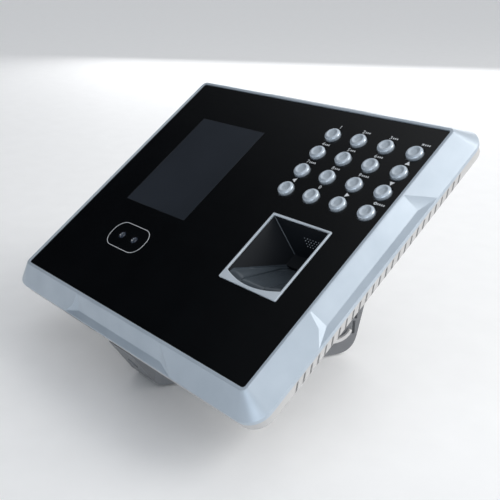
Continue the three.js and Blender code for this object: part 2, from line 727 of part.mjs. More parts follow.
function caseScrew([x, y]) {
  const seat = SCREW_SEAT_Z - GAP
  const [socketR, socketDepth] = SCREW_SOCKET
  return lathe([
    [0, seat - SCREW_HEAD_T + socketDepth],
    [socketR, seat - SCREW_HEAD_T + socketDepth],
    [socketR, seat - SCREW_HEAD_T],
    [SCREW_HEAD_R * 0.8, seat - SCREW_HEAD_T],
    [SCREW_HEAD_R, seat - SCREW_HEAD_T + 0.6],
    [SCREW_HEAD_R, seat],
    [SCREW_R, seat],
    [SCREW_R, SCREW_TIP_Z],
    [0, SCREW_TIP_Z],
  ], 14).translate([x, y, 0])
}

// ---------------------------------------------------------------- boards and what they carry
const boardPosts = [
  [board.x0 + POST_INSET[0], board.y1 - POST_INSET[1]],
  [board.x1 - POST_INSET[0], board.y1 - POST_INSET[1]],
  [board.x0 + POST_INSET[0], board.y0 + POST_INSET[2]],
  [board.x1 - POST_INSET[0], board.y0 + POST_INSET[2]],
]

// The board is notched where the scoop's funnel comes down beside it.
function mainBoard() {
  const sheet = box(board.x0, board.x1, board.y0, board.y1, board.bottom, BOARD_TOP)
  return cut(sheet, openingAt(sensorX, sensorY, SENSOR_W, SENSOR_H).scale([1, 1, FAR]))
}

const processorShield = () =>
  roundedBox(SHIELD.side / 2, SHIELD.side / 2, 1.5, onBoardFront, onBoardFront + SHIELD.t, 2)
    .translate([board.x0 + SHIELD.left, board.y1 - SHIELD.down, 0])

const backupBattery = () =>
  roundedBox(BATTERY.w / 2, BATTERY.h / 2, BATTERY.r, onBoardFront, onBoardFront + BATTERY.t, 3)
    .translate([BATTERY.x, board.y0 + BATTERY.up, 0])

function ethernetJack() {
  const mouth = onBoardBack - JACK.t - 1
  const floor = onBoardBack - JACK_SOCKET.floor
  const half = JACK_SOCKET.w / 2
  const latchHalf = JACK_SOCKET.latchW / 2
  const body = box(-JACK.w / 2, JACK.w / 2, -JACK.h / 2, JACK.h / 2, onBoardBack - JACK.t, onBoardBack)
  const socket = box(-half, half, JACK_SOCKET.y0, JACK_SOCKET.y1, mouth, floor)
  const latch = box(-latchHalf, latchHalf, JACK_SOCKET.latchY, JACK_SOCKET.y0 + 0.2, mouth, floor)
  return cut(body, socket, latch).translate([JACK.x, JACK.y, 0])
}

function powerJack() {
  const mouth = onBoardBack - POWER.t
  const body = box(-POWER.w / 2, POWER.w / 2, -POWER.h / 2, POWER.h / 2, mouth, onBoardBack)
  const bore = cylinder(0, 0, mouth - 1, onBoardBack - 1.5, POWER.bore, 16)
  const pin = cylinder(0, 0, mouth + POWER.pinShort, onBoardBack - 1, POWER.pin, 10)
  return join(cut(body, bore), pin).translate([POWER.x, POWER.y, 0])
}

function terminalBlock({ ways, x }) {
  const half = (ways * BLOCK.pitch) / 2 + BLOCK.end
  const front = onBoardBack - BLOCK.t
  const body = box(-half, half, -BLOCK.h / 2, BLOCK.h / 2, front, onBoardBack)
  const mouths = Array.from({ length: ways }, (_, i) => {
    const at = (i - (ways - 1) / 2) * BLOCK.pitch
    const halfW = BLOCK.mouthW / 2
    const halfH = BLOCK.mouthH / 2
    return box(at - halfW, at + halfW, -halfH, halfH, front - 1, front + BLOCK.mouthDepth)
  })
  return cut(body, ...mouths).translate([x, BLOCK.y, 0])
}

function usbPort() {
  const y0 = -CASE_H / 2 + REAR_INSET + WALL + PORT.behind
  const yMouth = y0 + PORT.mouthDepth
  const low = onBoardFront
  const high = rearTop - GAP
  const half = PORT.w / 2
  const inside = half - PORT.shell
  const tongueHalf = PORT.tongueW / 2
  const tongueLow = (low + high - PORT.tongueT) / 2
  const body = box(-half, half, y0, y0 + PORT.d, low, high)
  const mouth = box(-inside, inside, y0 - 1, yMouth, low + PORT.shell, high - PORT.shell)
  const tongue = box(-tongueHalf, tongueHalf, y0 + 1, yMouth + 1, tongueLow, tongueLow + PORT.tongueT)
  return join(cut(body, mouth), tongue).translate([(PORT_SLOT.x0 + PORT_SLOT.x1) / 2, 0, 0])
}

const portCover = () =>
  box(
    PORT_SLOT.x0 + GAP,
    PORT_SLOT.x1 - GAP,
    -CASE_H / 2 + REAR_INSET + PORT_COVER_INSET,
    -CASE_H / 2 + REAR_INSET + WALL,
    PORT_SLOT.z0 + GAP,
    PORT_SLOT.z1 - GAP,
  )

function speaker() {
  const base = innerBackZ + GAP
  return lathe([
    [0, base + 1],
    [SPEAKER.r * 0.7, base + 0.6],
    [SPEAKER.r * 0.85, base],
    [SPEAKER.r, base],
    [SPEAKER.r, base + SPEAKER.t / 3],
    [SPEAKER.r / 2, base + SPEAKER.t],
    [0, base + SPEAKER.t],
  ], 24).translate([SPEAKER.x, speakerY, 0])
}

function resetButton() {
  const top = onBoardBack - RESET.travel
  return lathe([
    [0, top - RESET.length],
    [RESET.r - 0.2, top - RESET.length],
    [RESET.r, top - RESET.length + 0.4],
    [RESET.r, top - RESET.flangeT],
    [RESET.flangeR, top - RESET.flangeT],
    [RESET.flangeR, top],
    [0, top],
  ], 14).translate([RESET.x, RESET.y, 0])
}

// A flat flexible cable: a bent strip drawn in the x-z plane and carried along y.
function ribbon(points, y0) {
  const upper = points.map(([x, z]) => [x, z + RIBBON_T / 2])
  const lower = points.map(([x, z]) => [x, z - RIBBON_T / 2]).reverse()
  const strip = extrude([...lower, ...upper].reverse(), 0, RIBBON_W)
  return strip.rotate([90, 0, 0]).translate([0, y0 + RIBBON_W, 0])
}

function displayRibbon() {
  const top = flangeTop - DISPLAY_T - GAP - RIBBON_T / 2
  const points = [
    [screenX - 4, top],
    [screenX + 14, top],
    [screenX + 22, BOARD_TOP + 1.5],
    [screenX + 34, BOARD_TOP + 0.5],
  ]
  return ribbon(points, screenY - 18.3)
}

function keypadRibbon() {
  const top = keyBoardTop - BOARD_T - GAP - RIBBON_T / 2
  const points = [
    [keypadX - 8, top],
    [keypadX - 12, top],
    [board.x1 - 7.5, BOARD_TOP + 2],
    [board.x1 - 15.5, BOARD_TOP + 0.5],
  ]
  return ribbon(points, keypadY - 9.6)
}

// ---------------------------------------------------------------- wall plate
function backPlate() {
  const sheet = roundedBox(PLATE_W / 2, PLATE_H / 2, PLATE_R, plateBottom, plateTop, 3)
  const lipBottom = innerBackZ + HOOK_PLAY
  const hooks = hookPlaces.flatMap(([x, y]) => {
    const stem = [x - HOOK_W / 2, x + HOOK_W / 2, y - HOOK_T / 2]
    return [
      box(...stem, y + HOOK_T / 2, plateTop - PLATE_T / 2, lipBottom + HOOK_T),
      box(...stem, y + HOOK_T / 2 + HOOK_LIP, lipBottom, lipBottom + HOOK_T),
    ]
  })
  const screwHoles = plateScrewPlaces.map(([x, y]) =>
    cylinder(x, y, plateBottom - 0.01, plateTop + 0.01, PLATE_SCREW.holeR, 14, PLATE_SCREW.holeHeadR),
  )
  return cut(join(sheet, ...hooks), cableWindow(plateBottom - 1, plateTop + 1), ...screwHoles)
}

function plateScrew([x, y]) {
  const top = plateTop - 0.1
  const tip = standTopZ - STAND_TOP_T - PLATE_SCREW.past
  const [socketR, socketDepth] = SCREW_SOCKET
  return lathe([
    [0, tip],
    [PLATE_SCREW.r, tip],
    [PLATE_SCREW.r, plateBottom - 0.05],
    [PLATE_SCREW.headR, top],
    [socketR, top],
    [socketR, top - socketDepth * 0.75],
    [0, top - socketDepth * 0.75],
  ], 14).translate([x, y, 0])
}

// ---------------------------------------------------------------- desk stand
const cosTilt = Math.cos(FACE_TILT)
const sinTilt = Math.sin(FACE_TILT)
// Depth and height above the face origin of a point on the face's y and z axes.
const deskPoint = (y, z) => [y * cosTilt - z * sinTilt, y * sinTilt + z * cosTilt]
const toDesk = (solid) => solid.rotate([THREE.MathUtils.radToDeg(FACE_TILT), 0, 0])
const standFrontY = -CASE_H / 2 + STAND_FRONT_INSET
const deskZ = deskPoint(standFrontY + STAND_FRONT_T, standTopZ)[1] - TOE_DROP
const standBottom = deskZ + FOOT_SHOW
const frontTopZ = SIDE_Z - GAP

// Depth of a point on the front face of the foot at a given height.
const footFrontDepth = (height) => deskPoint(standFrontY, (height - standFrontY * sinTilt) / cosTilt)[0]

// Height of a point in the plane of the top plate at a given depth.
const topPlaneHeight = (depth) => deskPoint((depth + standTopZ * sinTilt) / cosTilt, standTopZ)[1]

const toeY = footFrontDepth(standBottom)
const splayY = toeY - STAND_SPLAY_LEAD

// Half width of the stand at a depth, measured an inset inside its cheeks.
const cheekHalf = (depth, inset) =>
  STAND_FRONT_HALF + STAND_SPLAY * (depth - splayY) - inset * Math.hypot(1, STAND_SPLAY)

function standProfile() {
  // Side view: front face, desk edge, rounded rear corner, nearly upright rear edge, sloping top.
  const [toeUp, toeBack] = STAND_TOE
  const [cornerY, middleY, topY] = STAND_REAR_Y
  const shape = new THREE.Shape()
  shape.moveTo(...deskPoint(standFrontY, frontTopZ))
  shape.lineTo(footFrontDepth(standBottom + toeUp), standBottom + toeUp)
  shape.quadraticCurveTo(toeY, standBottom, toeY + toeBack, standBottom)
  shape.lineTo(cornerY - STAND_CORNER_R - 1, standBottom)
  shape.quadraticCurveTo(cornerY - 1.5, standBottom, cornerY, deskZ + STAND_REAR_UP[0])
  shape.lineTo(middleY, deskZ + STAND_REAR_UP[1])
  shape.lineTo(topY, topPlaneHeight(topY))
  shape.lineTo(...deskPoint(standFrontY + STAND_FRONT_T, standTopZ))
  shape.lineTo(...deskPoint(standFrontY + STAND_FRONT_T, frontTopZ))
  shape.closePath()
  return shape
}

// Plan view: a straight-sided front foot, then two cheeks that spread towards the back.
function standPlan(inset) {
  const frontHalf = STAND_FRONT_HALF - inset
  return [
    [-frontHalf, -FAR],
    [frontHalf, -FAR],
    [cheekHalf(splayY, inset), splayY],
    [cheekHalf(FAR, inset), FAR],
    [-cheekHalf(FAR, inset), FAR],
    [-cheekHalf(splayY, inset), splayY],
  ]
}

const rearPadX = cheekHalf(REAR_PAD.y, 0) - REAR_PAD.inset
const footPlaces = [
  { name: 'foot_front', x: 0, y: toeY + FRONT_PAD },
  { name: 'foot_left', x: -rearPadX, y: REAR_PAD.y },
  { name: 'foot_right', x: rearPadX, y: REAR_PAD.y },
]

function standHollow() {
  const front = toeY + STAND_SOLID
  const plan = [
    [-cheekHalf(front, STAND_WALL), front],
    [cheekHalf(front, STAND_WALL), front],
    [cheekHalf(FAR, STAND_WALL), FAR],
    [-cheekHalf(FAR, STAND_WALL), FAR],
  ]
  const underTop = toDesk(box(-FAR, FAR, -FAR, FAR, -FAR, standTopZ - STAND_TOP_T))
  return extrude(plan, deskZ - 5, FAR).intersect(underTop)
}

function footBosses() {
  const room = extrude(standPlan(FOOT_BOSS.inset), deskZ - 5, FAR)
  const rear = footPlaces.filter(({ x }) => x !== 0)
  const radius = FOOT_R + FOOT_BOSS.wall
  return rear.map(({ x, y }) =>
    cylinder(x, y, standBottom, standBottom + FOOT_BOSS.h, radius, 20).intersect(room),
  )
}

// Two narrow slots near the rear edge of each cheek.
function cheekSlots() {
  return CHEEK_SLOT.spans.map(([low, high]) => {
    const y = STAND_REAR_Y[1] - CHEEK_SLOT.in + (low - STAND_REAR_UP[1]) * CHEEK_SLOT.lean
    const half = CHEEK_SLOT.w / 2
    return box(-FAR, FAR, y - half, y + half, deskZ + low, deskZ + high)
  })
}

function stand() {
  const outer = acrossWidth(standProfile(), -FAR, FAR).intersect(extrude(standPlan(0), deskZ - 5, FAR))
  const pads = footPlaces.map(({ x, y }) =>
    cylinder(x, y, deskZ - 1, deskZ + FOOT_T + GAP, FOOT_R + GAP, 20),
  )
  const screwBottom = standTopZ - STAND_TOP_T - PLATE_SCREW.past - 2
  const screwHoles = plateScrewPlaces.map(([x, y]) =>
    toDesk(cylinder(x, y, screwBottom, standTopZ + 1, PLATE_SCREW.r + PLATE_SCREW.play, 12)),
  )
  return cut(
    join(cut(outer, standHollow()), ...footBosses()),
    ...pads,
    toDesk(cableWindow(standTopZ - STAND_TOP_T - 1, standTopZ + 1)),
    ...screwHoles,
    toDesk(rearEnvelope(GAP)),
    toDesk(join(lockScrewTool(SCREW_R + GAP), lockHeadWell())),
    ...cheekSlots(),
  )
}

const foot = ({ x, y }) => cylinder(x, y, deskZ, deskZ + FOOT_T, FOOT_R, 20)

// ---------------------------------------------------------------- lock screw through the front foot
const alongY = (solid, y) => solid.rotate([-90, 0, 0]).translate([0, y, LOCK_Z])

const lockScrewTool = (radius) => alongY(cylinder(0, 0, 0, LOCK.hole, radius, 12), standFrontY - 1)

const lockHeadWell = () => alongY(cylinder(0, 0, 0, LOCK.well, LOCK.headR + GAP, 16), standFrontY - 1)

function lockScrew() {
  const [socketR, socketDepth] = SCREW_SOCKET
  const solid = lathe([
    [0, socketDepth],
    [socketR, socketDepth],
    [socketR, 0],
    [LOCK.headR, 0],
    [LOCK.headR, LOCK.headT],
    [SCREW_R, LOCK.headT],
    [SCREW_R, LOCK.length],
    [0, LOCK.length],
  ], 14)
  return alongY(solid, standFrontY + LOCK.sunk)
}

// ---------------------------------------------------------------- cable clips on the cheeks
// A J-shaped bar standing off the cheek, low down near the rear corner.
function cableClip(side) {
  const shape = new THREE.Shape()
  shape.moveTo(-6, -1)
  shape.quadraticCurveTo(2.5, -1.6, 4.6, 4.4)
  shape.lineTo(3.2, 4.8)
  shape.quadraticCurveTo(1.2, 0.6, -6, 0.4)
  shape.closePath()
  const bar = extrude(shape, 0, CLIP.t, 5)
    .rotate([90, 0, 90])
    .rotate([0, 0, -THREE.MathUtils.radToDeg(Math.atan(STAND_SPLAY))])
    .translate([cheekHalf(CLIP.y, 0) + GAP, CLIP.y, deskZ + CLIP.up])
  return side > 0 ? bar : bar.mirror([1, 0, 0])
}

// ---------------------------------------------------------------- assembly
addNode(terminal, 'front_bezel', frontBezel(), silverPaint)
addNode(terminal, 'front_panel', frontPanel(), blackGloss)
addNode(terminal, 'screen_window', screenWindow(), screenGlass)
addNode(terminal, 'display_module', displayModule(), steel)
addNode(terminal, 'camera_window', cameraWindow(), blackGloss)
addNode(terminal, 'camera_module_visible', cameraModule(lensPlaces[0]), lensGlass)
addNode(terminal, 'camera_module_infrared', cameraModule(lensPlaces[1]), lensGlass)
addNode(terminal, 'camera_board', cameraBoard(), boardGreen)

keyPlaces.forEach((place) => addNode(terminal, place.name, key(place), silverPaint))
addNode(terminal, 'key_mat', keyMat(), matSilicone)
addNode(terminal, 'keypad_board', keypadBoard(), boardGreen)

addNode(terminal, 'sensor_frame', sensorFrame(), silverPaint)
addNode(terminal, 'sensor_shroud', sensorShroud(), blackMatte)
addNode(terminal, 'sensor_prism', sensorPrism(), platenGlass)
addNode(terminal, 'sensor_module', sensorModule(), blackMatte)
addNode(terminal, 'sensor_board', sensorBoard(), boardGreen)

addNode(terminal, 'main_board', mainBoard(), boardGreen)
addNode(terminal, 'processor_shield', processorShield(), steel)
addNode(terminal, 'ethernet_jack', ethernetJack(), blackMatte)
addNode(terminal, 'power_jack', powerJack(), blackMatte)
addNode(terminal, 'terminal_block_lock', terminalBlock(BLOCK_LOCK), connectorPlastic)
addNode(terminal, 'terminal_block_sensor', terminalBlock(BLOCK_SENSOR), connectorPlastic)
addNode(terminal, 'usb_port', usbPort(), steel)
addNode(terminal, 'port_cover', portCover(), rubberBlack)
addNode(terminal, 'speaker', speaker(), blackMatte)
addNode(terminal, 'backup_battery', backupBattery(), steel)
addNode(terminal, 'reset_button', resetButton(), blackMatte)
addNode(terminal, 'display_ribbon', displayRibbon(), ribbonWhite)
addNode(terminal, 'keypad_ribbon', keypadRibbon(), ribbonWhite)

addNode(terminal, 'side_band', sideBand(), greyPlastic)
addNode(terminal, 'rear_case', rearCase(), greyPlastic)
screwPlaces.forEach((at, i) => addNode(terminal, `case_screw_${i + 1}`, caseScrew(at), steel))

addNode(terminal, 'back_plate', backPlate(), steel)
plateScrewPlaces.forEach((at, i) => addNode(terminal, `plate_screw_${i + 1}`, plateScrew(at), steel))
addNode(terminal, 'lock_screw', lockScrew(), steel)

addNode(part, 'stand', stand(), standGrey)
footPlaces.forEach((place) => addNode(part, place.name, foot(place), rubberBlack))
addNode(part, 'cable_clip_right', cableClip(1), lightPlastic)
addNode(part, 'cable_clip_left', cableClip(-1), lightPlastic)

part.updateMatrixWorld(true)
const bounds = new THREE.Box3().setFromObject(part, true)
const centre = bounds.getCenter(new THREE.Vector3())
part.position.set(-centre.x, -centre.y, -bounds.min.z)
part.updateMatrixWorld(true)

export default part
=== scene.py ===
"""Looks of the fingerprint terminal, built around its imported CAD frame.

Lengths are millimetres in the constants below and are turned to metres as the meshes are made. The
terminal's pieces are drawn in its face frame: x right, y up the face, z out of it, with the origin at
the middle of the black panel's top. The stand's pieces are drawn in the object's own axes.
"""
import json
import math

import bmesh
import bpy
from mathutils import Matrix, Vector


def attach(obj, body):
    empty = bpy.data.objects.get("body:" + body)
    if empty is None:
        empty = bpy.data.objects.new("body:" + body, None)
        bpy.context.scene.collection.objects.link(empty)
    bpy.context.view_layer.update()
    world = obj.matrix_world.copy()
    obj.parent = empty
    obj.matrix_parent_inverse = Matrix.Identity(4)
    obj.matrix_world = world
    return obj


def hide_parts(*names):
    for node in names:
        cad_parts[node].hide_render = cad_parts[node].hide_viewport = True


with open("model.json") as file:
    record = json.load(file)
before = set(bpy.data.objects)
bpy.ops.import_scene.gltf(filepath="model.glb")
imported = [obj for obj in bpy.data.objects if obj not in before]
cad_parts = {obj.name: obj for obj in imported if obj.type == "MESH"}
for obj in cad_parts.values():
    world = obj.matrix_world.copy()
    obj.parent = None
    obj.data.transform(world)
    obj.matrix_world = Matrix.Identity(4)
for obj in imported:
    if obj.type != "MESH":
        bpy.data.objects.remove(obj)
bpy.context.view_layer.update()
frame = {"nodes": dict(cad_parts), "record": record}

MM = 0.001
TERMINAL = "terminal"
STAND = "stand"
FACE_TILT = math.radians(32.8)


# ---------------------------------------------------------------- the face frame, from the CAD panel
def face_frame():
    turn = Matrix.Rotation(FACE_TILT, 3, "X")
    local = [turn.inverted() @ v.co for v in frame["nodes"]["front_panel"].data.vertices]
    centre = Vector(
        (
            (min(v.x for v in local) + max(v.x for v in local)) / 2,
            (min(v.y for v in local) + max(v.y for v in local)) / 2,
            max(v.z for v in local),
        )
    )
    return Matrix.Translation(turn @ centre) @ turn.to_4x4()


FACE = face_frame()


def face_box(node):
    """Lowest and highest corners of a CAD node in the face frame, in millimetres."""
    inverse = FACE.inverted()
    points = [inverse @ v.co / MM for v in frame["nodes"][node].data.vertices]
    low = Vector([min(p[i] for p in points) for i in range(3)])
    high = Vector([max(p[i] for p in points) for i in range(3)])
    return low, high


# ---------------------------------------------------------------- sizes, in millimetres
PANEL_LOW, PANEL_HIGH = face_box("front_panel")
BEZEL_LOW, BEZEL_HIGH = face_box("front_bezel")
SCREEN_LOW, SCREEN_HIGH = face_box("screen_window")
CAMERA_LOW, CAMERA_HIGH = face_box("camera_window")
SENSOR_LOW, SENSOR_HIGH = face_box("sensor_frame")
SENSOR_MID = (SENSOR_LOW + SENSOR_HIGH) / 2

CASE_R = 9.0
RIM_W = 1.3
RIM_R = 2.5
RIM_EDGE_X = 0.3
RIM_EDGE_Z = 0.2
PANEL_GAP = 0.15
PANEL_R = 1.2
LIP_Z = -7.2
RECESS_TOP = 29.3  # half length of a bevel recess at the rim
RECESS_LIP = 38.0  # and at the lip
RECESS_SHELF = 3.0
RECESS_Z = -6.4
PANEL_LEDGE = 1.6
PANEL_T = 2.0
PANEL_SEAT = 0.3  # glue under the panel
CUT_LOW = -20.0  # cutting tools reach from here
CUT_HIGH = 4.0  # to here

SCREEN_GAP = 0.12
CAMERA_GAP = 0.1
SENSOR_GAP = 0.15
CAMERA_LINE = (0.08, -0.12)  # the outline's outer and inner edge past the window's
LENS_HOLE_R = 1.9
LENS_FLANGE_R = 3.4
LENS_BARREL_R = 1.75
LENS_LIP_R = 1.45
LENS_WELL_R = 1.2
LENS_GLASS_R = 1.6

KEY_R = 3.55
KEY_HOLE_R = 4.05
KEY_FLANGE_T = 0.9
KEY_ROUND = 1.15
KEY_DISH = 0.62  # the dished disc's share of the key's radius
KEY_DISH_DEPTH = 0.12
KEY_NODES = [
    "key_1", "key_2", "key_3", "key_escape",
    "key_4", "key_5", "key_6", "key_up",
    "key_7", "key_8", "key_9", "key_down",
    "key_left", "key_0", "key_right", "key_enter",
]
LABEL_RISE = 5.6
LABEL_SHIFT = 0.3
LABEL_LIFT = 0.03
LABEL_SIZE = 2.5
DIGIT_SHIFT = -1.5
MARK_T = 0.02
BAR_PITCH = 0.95
BAR_W = 0.42
BAR_LOW = -0.5
BAR_HIGH = 0.35

SCOOP_RIM = 0.9
SCOOP_ARC = 3.2
SCOOP_SIDE = 3.6
SCOOP_DEPTH = 15.0
SCOOP_FLOOR_HALF = 5.8
SCOOP_FLOOR_Y = (5.5, 11.5)
PLATEN_W = 11.4
PLATEN_SUNK = 1.9
CRADLE_PLAY = 0.25
CRADLE_START = -1.25  # height of the ramp's upper end
CRADLE_FLANK = 1.5  # how far the ramp's flanks rise from the platen to the walls
CRADLE_SLIT = 0.9  # slit beside the platen
BEAD_RISE = 0.35
RIDGE_R = 0.22
DOT_R = 0.2
DOT_PITCH = 1.5
DOT_STAGGER = 0.4
DOT_ROWS = 4
DOT_COLUMNS = 6
DOT_FIRST_X = 1.0
DOT_FIRST_SHARE = 0.36  # of the way down the far wall
DOT_ROW_SHARE = 0.075


# ---------------------------------------------------------------- materials
# Noise scales are in cycles per metre, bump depths in metres, colours linear.
MOTTLE_SCALE = 60.0
SMUDGE_SCALE = 140.0
PIXELS_PER_METRE = 5555.0


def new_material(name):
    material = bpy.data.materials.new(name)
    material.use_nodes = True
    nodes = material.node_tree.nodes
    shader = next(n for n in nodes if n.type == "BSDF_PRINCIPLED")
    return material, nodes, material.node_tree.links, shader


def noise(nodes, links, scale, detail=3.0, roughness=0.5):
    coords = nodes.new("ShaderNodeTexCoord")
    texture = nodes.new("ShaderNodeTexNoise")
    texture.inputs["Scale"].default_value = scale
    texture.inputs["Detail"].default_value = detail
    texture.inputs["Roughness"].default_value = roughness
    links.new(coords.outputs["Object"], texture.inputs["Vector"])
    return texture.outputs["Fac"]


def ramp(nodes, links, value, low, high, start=0.3, end=0.7):
    node = nodes.new("ShaderNodeValToRGB")
    node.color_ramp.elements[0].position = start
    node.color_ramp.elements[1].position = end
    node.color_ramp.elements[0].color = (*low, 1)
    node.color_ramp.elements[1].color = (*high, 1)
    links.new(value, node.inputs["Fac"])
    return node.outputs["Color"]


def bump(nodes, links, shader, height, distance, strength=1.0):
    node = nodes.new("ShaderNodeBump")
    node.inputs["Distance"].default_value = distance
    node.inputs["Strength"].default_value = strength
    links.new(height, node.inputs["Height"])
    links.new(node.outputs["Normal"], shader.inputs["Normal"])


def remap(nodes, links, value, low, high):
    node = nodes.new("ShaderNodeMapRange")
    node.inputs["To Min"].default_value = low
    node.inputs["To Max"].default_value = high
    links.new(value, node.inputs["Value"])
    return node.outputs["Result"]


def moulded(name, low, high, rough=(0.45, 0.6), grain=900.0, depth=0.00002, **sockets):
    """Moulded or painted surface: mottled colour, uneven gloss and a fine grain."""
    material, nodes, links, shader = new_material(name)
    mottle = noise(nodes, links, MOTTLE_SCALE)
    links.new(ramp(nodes, links, mottle, low, high), shader.inputs["Base Color"])
    smudge = noise(nodes, links, SMUDGE_SCALE, 4.0)
    links.new(remap(nodes, links, smudge, *rough), shader.inputs["Roughness"])
    bump(nodes, links, shader, noise(nodes, links, grain * 3, 2.0), depth)
    for socket, value in sockets.items():
        shader.inputs[socket.replace("_", " ")].default_value = value
    return material


def silver_paint(
    name="silver_paint", low=(0.41, 0.475, 0.54), high=(0.48, 0.545, 0.61), metal=0.25, rough=(0.34, 0.46)
):
    return moulded(
        name, low, high, rough=rough, grain=1400.0, depth=0.000012,
        Metallic=metal, Coat_Weight=0.25, Coat_Roughness=0.3,
    )


def black_gloss():
    return moulded(
        "black_gloss", (0.0022, 0.0026, 0.0032), (0.0030, 0.0035, 0.0042),
        rough=(0.12, 0.18), grain=300.0, depth=0.000002, Specular_IOR_Level=0.3,
    )


def screen_glass():
    """Switched-off screen behind the window: dark blue grey with a faint pixel grid."""
    material, nodes, links, shader = new_material("screen_glass")
    coords = nodes.new("ShaderNodeTexCoord")
    grid = nodes.new("ShaderNodeTexBrick")
    grid.offset = 0.0
    grid.inputs["Scale"].default_value = PIXELS_PER_METRE
    grid.inputs["Mortar Size"].default_value = 0.06
    grid.inputs["Color1"].default_value = (0.026, 0.031, 0.039, 1)
    grid.inputs["Color2"].default_value = (0.029, 0.034, 0.043, 1)
    grid.inputs["Mortar"].default_value = (0.021, 0.025, 0.032, 1)
    links.new(coords.outputs["Object"], grid.inputs["Vector"])
    haze = ramp(nodes, links, noise(nodes, links, 20.0), (0.85, 0.85, 0.85), (1.1, 1.1, 1.1))
    mix = nodes.new("ShaderNodeMixRGB")
    mix.blend_type = "MULTIPLY"
    mix.inputs["Fac"].default_value = 1.0
    links.new(grid.outputs["Color"], mix.inputs["Color1"])
    links.new(haze, mix.inputs["Color2"])
    links.new(mix.outputs["Color"], shader.inputs["Base Color"])
    links.new(remap(nodes, links, noise(nodes, links, 90.0), 0.1, 0.18), shader.inputs["Roughness"])
    shader.inputs["Specular IOR Level"].default_value = 0.3
    return material


def circuit_board():
    """Green solder mask with paler copper tracks under it."""
    material, nodes, links, shader = new_material("circuit_board")
    coords = nodes.new("ShaderNodeTexCoord")
    cells = nodes.new("ShaderNodeTexVoronoi")
    cells.distance = "MANHATTAN"
    cells.feature = "DISTANCE_TO_EDGE"
    cells.inputs["Scale"].default_value = 260.0
    links.new(coords.outputs["Object"], cells.inputs["Vector"])
    tracks = ramp(
        nodes, links, cells.outputs["Distance"], (0.05, 0.20, 0.10), (0.015, 0.09, 0.045), 0.04, 0.09
    )
    links.new(tracks, shader.inputs["Base Color"])
    links.new(remap(nodes, links, noise(nodes, links, 200.0), 0.3, 0.42), shader.inputs["Roughness"])
    bump(nodes, links, shader, cells.outputs["Distance"], 0.00003, 0.4)
    return material


def brushed_steel():
    material, nodes, links, shader = new_material("steel_sheet")
    coords = nodes.new("ShaderNodeTexCoord")
    stretch = nodes.new("ShaderNodeMapping")
    stretch.inputs["Scale"].default_value = (40.0, 900.0, 900.0)
    streaks = nodes.new("ShaderNodeTexNoise")
    streaks.inputs["Scale"].default_value = 2.0
    links.new(coords.outputs["Object"], stretch.inputs["Vector"])
    links.new(stretch.outputs["Vector"], streaks.inputs["Vector"])
    tone = ramp(nodes, links, streaks.outputs["Fac"], (0.48, 0.49, 0.50), (0.6, 0.61, 0.62))
    links.new(tone, shader.inputs["Base Color"])
    links.new(remap(nodes, links, streaks.outputs["Fac"], 0.28, 0.42), shader.inputs["Roughness"])
    bump(nodes, links, shader, streaks.outputs["Fac"], 0.00001)
    shader.inputs["Metallic"].default_value = 1.0
    return material


def dark_glass(name, tint, rough):
    material, nodes, links, shader = new_material(name)
    tone = ramp(nodes, links, noise(nodes, links, 120.0), tint, tuple(c * 1.3 for c in tint))
    links.new(tone, shader.inputs["Base Color"])
    uneven = remap(nodes, links, noise(nodes, links, 300.0), rough, rough * 1.8)
    links.new(uneven, shader.inputs["Roughness"])
    shader.inputs["Coat Weight"].default_value = 1.0
    shader.inputs["Coat Roughness"].default_value = 0.02
    return material


MATERIALS = {
    "silver_paint": silver_paint(),
    "silver_key": silver_paint(
        "silver_key", (0.50, 0.57, 0.64), (0.57, 0.64, 0.71), metal=0.35, rough=(0.24, 0.32)
    ),
    "black_gloss": black_gloss(),
    "screen_glass": screen_glass(),
    "lens_glass": dark_glass("lens_glass", (0.02, 0.03, 0.05), 0.03),
    "platen_glass": dark_glass("platen_glass", (0.004, 0.005, 0.006), 0.04),
    "black_matte": moulded(
        "black_matte", (0.007, 0.0085, 0.011), (0.009, 0.011, 0.014), (0.42, 0.52),
        Specular_IOR_Level=0.15,
    ),
    "grey_plastic": moulded("grey_plastic", (0.50, 0.49, 0.48), (0.55, 0.54, 0.53)),
    "stand_grey": moulded("stand_grey", (0.17, 0.175, 0.185), (0.20, 0.205, 0.215), (0.4, 0.52)),
    "light_plastic": moulded("light_plastic", (0.62, 0.61, 0.60), (0.68, 0.67, 0.66), (0.35, 0.45)),
    "steel_sheet": brushed_steel(),
    "circuit_board": circuit_board(),
    "connector_green": moulded("connector_green", (0.03, 0.22, 0.09), (0.04, 0.26, 0.11)),
    "silicone": moulded("silicone", (0.5, 0.51, 0.52), (0.56, 0.57, 0.58)),
    "ribbon_white": moulded("ribbon_white", (0.7, 0.69, 0.65), (0.76, 0.75, 0.71)),
    "black_rubber": moulded("black_rubber", (0.012, 0.012, 0.013), (0.02, 0.02, 0.021), (0.7, 0.85)),
}
LABEL_WHITE = moulded("label_white", (0.74, 0.76, 0.78), (0.82, 0.84, 0.86), (0.5, 0.6))
# The finger ramp's own dark grey; the scoop's ridges reuse it as a painted highlight.
CRADLE_GREY_AND_RIDGE_HIGHLIGHT = moulded("cradle_grey_and_ridge_highlight", (0.05, 0.062, 0.075), (0.065, 0.08, 0.095), (0.2, 0.28))
# Lighter copy of the silver paint: painted light on the scoop frame and painted highlights on the beads
# of the far wall.
PAINTED_LIGHT_SILVER = silver_paint("painted_light_silver", (0.55, 0.61, 0.67), (0.62, 0.68, 0.74), 0.15, (0.3, 0.4))

NODE_SLOT = {row["node"]: row["material_slot"] for row in frame["record"]["subparts"]}
for node_name, cad_object in frame["nodes"].items():
    cad_object.data.materials.clear()
    cad_object.data.materials.append(MATERIALS[NODE_SLOT[node_name]])


# ---------------------------------------------------------------- mesh helpers
def add_object(name, mesh, material, matrix=None):
    piece = bpy.data.objects.new(name, mesh)
    bpy.context.scene.collection.objects.link(piece)
    if matrix is not None:
        mesh.transform(matrix)
    mesh.materials.clear()
    mesh.materials.append(material)
    return piece


